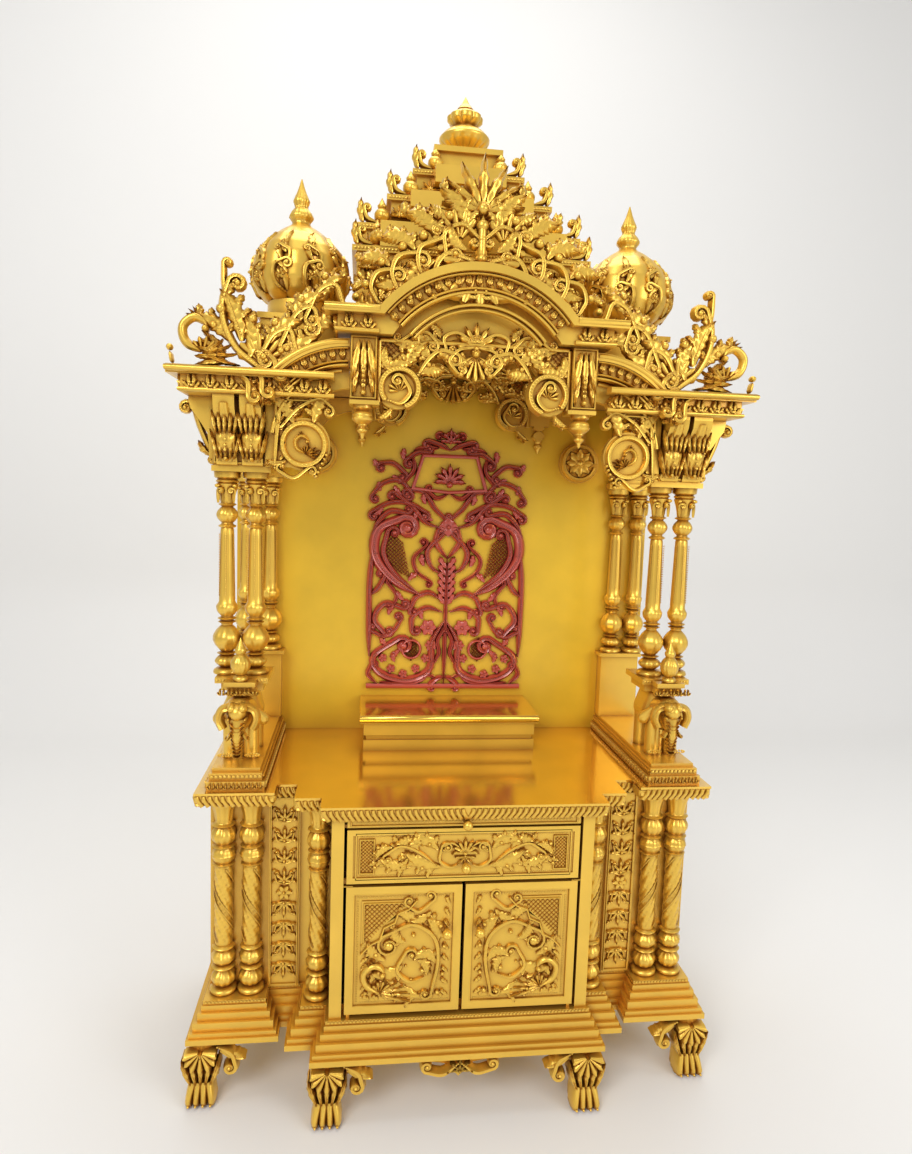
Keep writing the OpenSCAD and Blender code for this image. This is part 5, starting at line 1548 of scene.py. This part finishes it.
def seat_top(c):
    """The seat's polished top with a rounded edge."""
    lo, hi = SEAT_LO, SEAT_HI
    ring = mitred(np.array([(lo[0], hi[1]), (lo[0], lo[1]), (hi[0], lo[1]), (hi[0], hi[1])]),
                  False)
    stand_moulding(c, ring, lo[2], [(-3, 0.3), (0.2, 2), (2, 10), (0.2, 18), (-3, 19.7)])


def rear_arch(c):
    fascia_carving(c, PANEL_Y - 18, disc=40, back=7)
    since = len(c.points)
    c.face((0, PANEL_Y - 18, 0))
    c.ribbon(arc(339, 1380, 43, 0, 345, 36), 7, 8, 6, 0.2)
    c.rosette((339, 1380), 36, 8, 8)
    c.mirror(since)


class SHRINE_OT_base(Piece, bpy.types.Operator):
    """Columns, strips, paws and edges of the cabinet"""
    bl_idname = "shrine.base"
    bl_label = "Cabinet carving"
    made = (("base_column_carving", base_columns, "root", ("base_columns",), G, "gold_wood"),
            ("strip_carving", carve_strips, "root", (), G, "gold_wood"),
            ("edge_carving", table_edge, "root", (), G, "gold_wood"),
            ("paw_carving", feet_work, "root", (), G, "gold_wood"))


class SHRINE_OT_fronts(Piece, bpy.types.Operator):
    """Carving of the doors, drawer and tray"""
    bl_idname = "shrine.fronts"
    bl_label = "Fronts"
    made = (("left_door_carving", doors(-1), "left_door", (), G, "gold_wood"),
            ("right_door_carving", doors(1), "right_door", (), G, "gold_wood"),
            ("drawer_carving", drawer_carving, "drawer", (), G, "gold_wood"),
            ("tray_beads", tray_beads, "tray", (), G, "gold_wood"))


class SHRINE_OT_shrine(Piece, bpy.types.Operator):
    """Columns, urns, rails, elephants and seat of the shrine"""
    bl_idname = "shrine.shrine"
    bl_label = "Shrine pieces"
    made = (("front_column_carving", front_columns, "root", ("front_columns",), G, "gold_wood"),
            ("rear_column_carving", rear_columns, "root", ("rear_columns",), G, "gold_wood"),
            ("urn_carving", urns, "root", ("kalash_urns",), G, "gold_wood"),
            ("rail_carving", rail_work, "root", (), G, "gold_wood"),
            ("elephant_carving", elephant_trim, "root", (), G, "gold_wood"),
            ("seat_edge", seat_top, "root", (), P, "gloss_gold"),
            ("lattice_carving", lattice_work, "root", ("lattice",), R, "red_lattice"))


class SHRINE_OT_canopy(Piece, bpy.types.Operator):
    """Capital blocks, brackets, boards, cornices and crests of the canopy"""
    bl_idname = "shrine.canopy"
    bl_label = "Canopy carving"
    made = (("capital_carving", capital_carving, "root", (), G, "gold_wood"),
            ("wing_bracket_carving", wing_bracket, "root", (), G, "gold_wood"),
            ("fascia_carving", lambda c: fascia_carving(c, FASCIA_Y), "root", (), G,
             "gold_wood"),
            ("rear_arch_carving", rear_arch, "root", (), G, "gold_wood"),
            ("pendant_carving", pendants, "root", (), G, "gold_wood"),
            ("wing_cornice_carving", wing_front, "root", (), G, "gold_wood"),
            ("wing_arch_carving", wing_arch, "root", (), G, "gold_wood"),
            ("centre_cornice_carving", centre_front, "root", (), G, "gold_wood"),
            ("centre_crest_carving", crest_centre, "root", ("centre_crest",), G, "gold_wood"),
            ("wing_crest_carving", crest_wing, "root", ("wing_crests",), G, "gold_wood"))


class SHRINE_OT_roof(Piece, bpy.types.Operator):
    """Domes, tower trim and the large finial"""
    bl_idname = "shrine.roof"
    bl_label = "Roof carving"
    made = (("dome_carving", dome_work, "root", ("domes",), G, "gold_wood"),
            ("tower_carving", tower_trim, "root", (), G, "gold_wood"),
            ("finial_carving", finial_work, "root", ("main_finial",), G, "gold_wood"))


NODE_PAINT = {"back_panel": "panel gold", "cabinet_back": "inner wood",
              "cabinet_floor": "inner wood", "inner_walls": "inner wood",
              "slide_runners": "inner wood", "table_top": "polished gold",
              "seat_top": "polished gold", "roof_boards": "inner wood",
              "left_elephant": "carved gold", "right_elephant": "carved gold",
              "lattice": "lattice red", "capital_blocks": "carved gold"}


class SHRINE_OT_finishes(bpy.types.Operator):
    """Makes the paints and gives the carried-over pieces theirs"""
    bl_idname = "shrine.finishes"
    bl_label = "Finishes"

    def execute(self, context):
        finishes()
        for name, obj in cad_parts.items():
            obj.data.materials.clear()
            obj.data.materials.append(
                bpy.data.materials[NODE_PAINT.get(name, "wood gold")])
        return {"FINISHED"}


class SHRINE_OT_stage(bpy.types.Operator):
    """Pale floor and wall, soft lights, and the camera"""
    bl_idname = "shrine.stage"
    bl_label = "Stage"

    def execute(self, context):
        scene = context.scene
        sizes, colours = scene.shrine_sizes, scene.shrine_colours
        s = sizes.floor_size / 2
        t = np.linspace(0, PI / 2, 13)
        depth = 2.2
        y = np.concatenate([[-s], depth + 0.8 * np.sin(t), [depth + 0.8]])
        z = np.concatenate([[0], 0.8 - 0.8 * np.cos(t), [7.0]])
        verts = [(x, a, b) for a, b in zip(y, z) for x in (-s, s)]
        faces = [(2 * i, 2 * i + 1, 2 * i + 3, 2 * i + 2) for i in range(len(y) - 1)]
        mesh = bpy.data.meshes.new("floor")
        mesh.from_pydata(verts, [], faces)
        mesh.shade_smooth()
        floor = bpy.data.objects.new("floor", mesh)
        scene.collection.objects.link(floor)
        m = bpy.data.materials.new("pale floor")
        m.use_nodes = True
        shader = m.node_tree.nodes["Principled BSDF"]
        shader.inputs["Base Color"].default_value = (*colours.floor, 1)
        shader.inputs["Roughness"].default_value = 0.55
        mesh.materials.append(m)
        for name, place, size, power in (
                ("key", (-2.6, -4.2, 4.2), 2.6, sizes.key_power),
                ("fill", (3.4, -3.6, 2.4), 2.4, sizes.key_power * 0.5),
                ("top", (0.0, 0.6, 5.2), 3.0, sizes.key_power * 0.55)):
            light = bpy.data.lights.new(name, "AREA")
            light.size, light.energy = size, power
            lamp = bpy.data.objects.new(name, light)
            lamp.location = place
            aim = Vector((0, 0, 1.1)) - Vector(place)
            lamp.rotation_euler = aim.to_track_quat("-Z", "Y").to_euler()
            scene.collection.objects.link(lamp)
        world = bpy.data.worlds.new("pale")
        world.use_nodes = True
        world.node_tree.nodes["Background"].inputs["Color"].default_value = (1, 1, 1, 1)
        world.node_tree.nodes["Background"].inputs["Strength"].default_value = 0.55
        scene.world = world
        scene.view_settings.view_transform = "Standard"
        view = bpy.data.cameras.new("camera")
        view.sensor_width, view.lens = 36.0, 23.94
        camera = bpy.data.objects.new("camera", view)
        yaw, pitch, roll = 0.126040, -0.101596, -0.0334786
        ahead = Vector((math.sin(yaw) * math.cos(pitch), math.cos(yaw) * math.cos(pitch),
                        math.sin(pitch)))
        right = Vector((math.cos(yaw), -math.sin(yaw), 0))
        up = right.cross(ahead)
        x = right * math.cos(roll) - up * math.sin(roll)
        z = right * math.sin(roll) + up * math.cos(roll)
        turn = Matrix((x, z, -ahead)).transposed().to_4x4()
        camera.matrix_world = Matrix.Translation((-0.227, -1.731, 1.277)) @ turn
        scene.collection.objects.link(camera)
        scene.camera = camera
        return {"FINISHED"}


class SHRINE_PT_panel(bpy.types.Panel):
    """Lists the pieces"""
    bl_label = "Shrine"
    bl_space_type = "VIEW_3D"
    bl_region_type = "UI"
    bl_category = "Shrine"

    def draw(self, context):
        for step in STEPS:
            self.layout.operator(step)


STEPS = ("shrine.finishes", "shrine.base", "shrine.fronts", "shrine.shrine", "shrine.canopy",
         "shrine.roof", "shrine.stage")
CLASSES = (ShrineSizes, ShrineColours, SHRINE_OT_finishes, SHRINE_OT_base, SHRINE_OT_fronts,
           SHRINE_OT_shrine, SHRINE_OT_canopy, SHRINE_OT_roof, SHRINE_OT_stage, SHRINE_PT_panel)


def register():
    for cls in CLASSES:
        bpy.utils.register_class(cls)
    bpy.types.Scene.shrine_sizes = PointerProperty(type=ShrineSizes)
    bpy.types.Scene.shrine_colours = PointerProperty(type=ShrineColours)


def unregister():
    del bpy.types.Scene.shrine_colours
    del bpy.types.Scene.shrine_sizes
    for cls in reversed(CLASSES):
        bpy.utils.unregister_class(cls)


def main():
    register()
    for step in STEPS:
        group, name = step.split(".")
        getattr(getattr(bpy.ops, group), name)()


if __name__ == "__main__":
    main()
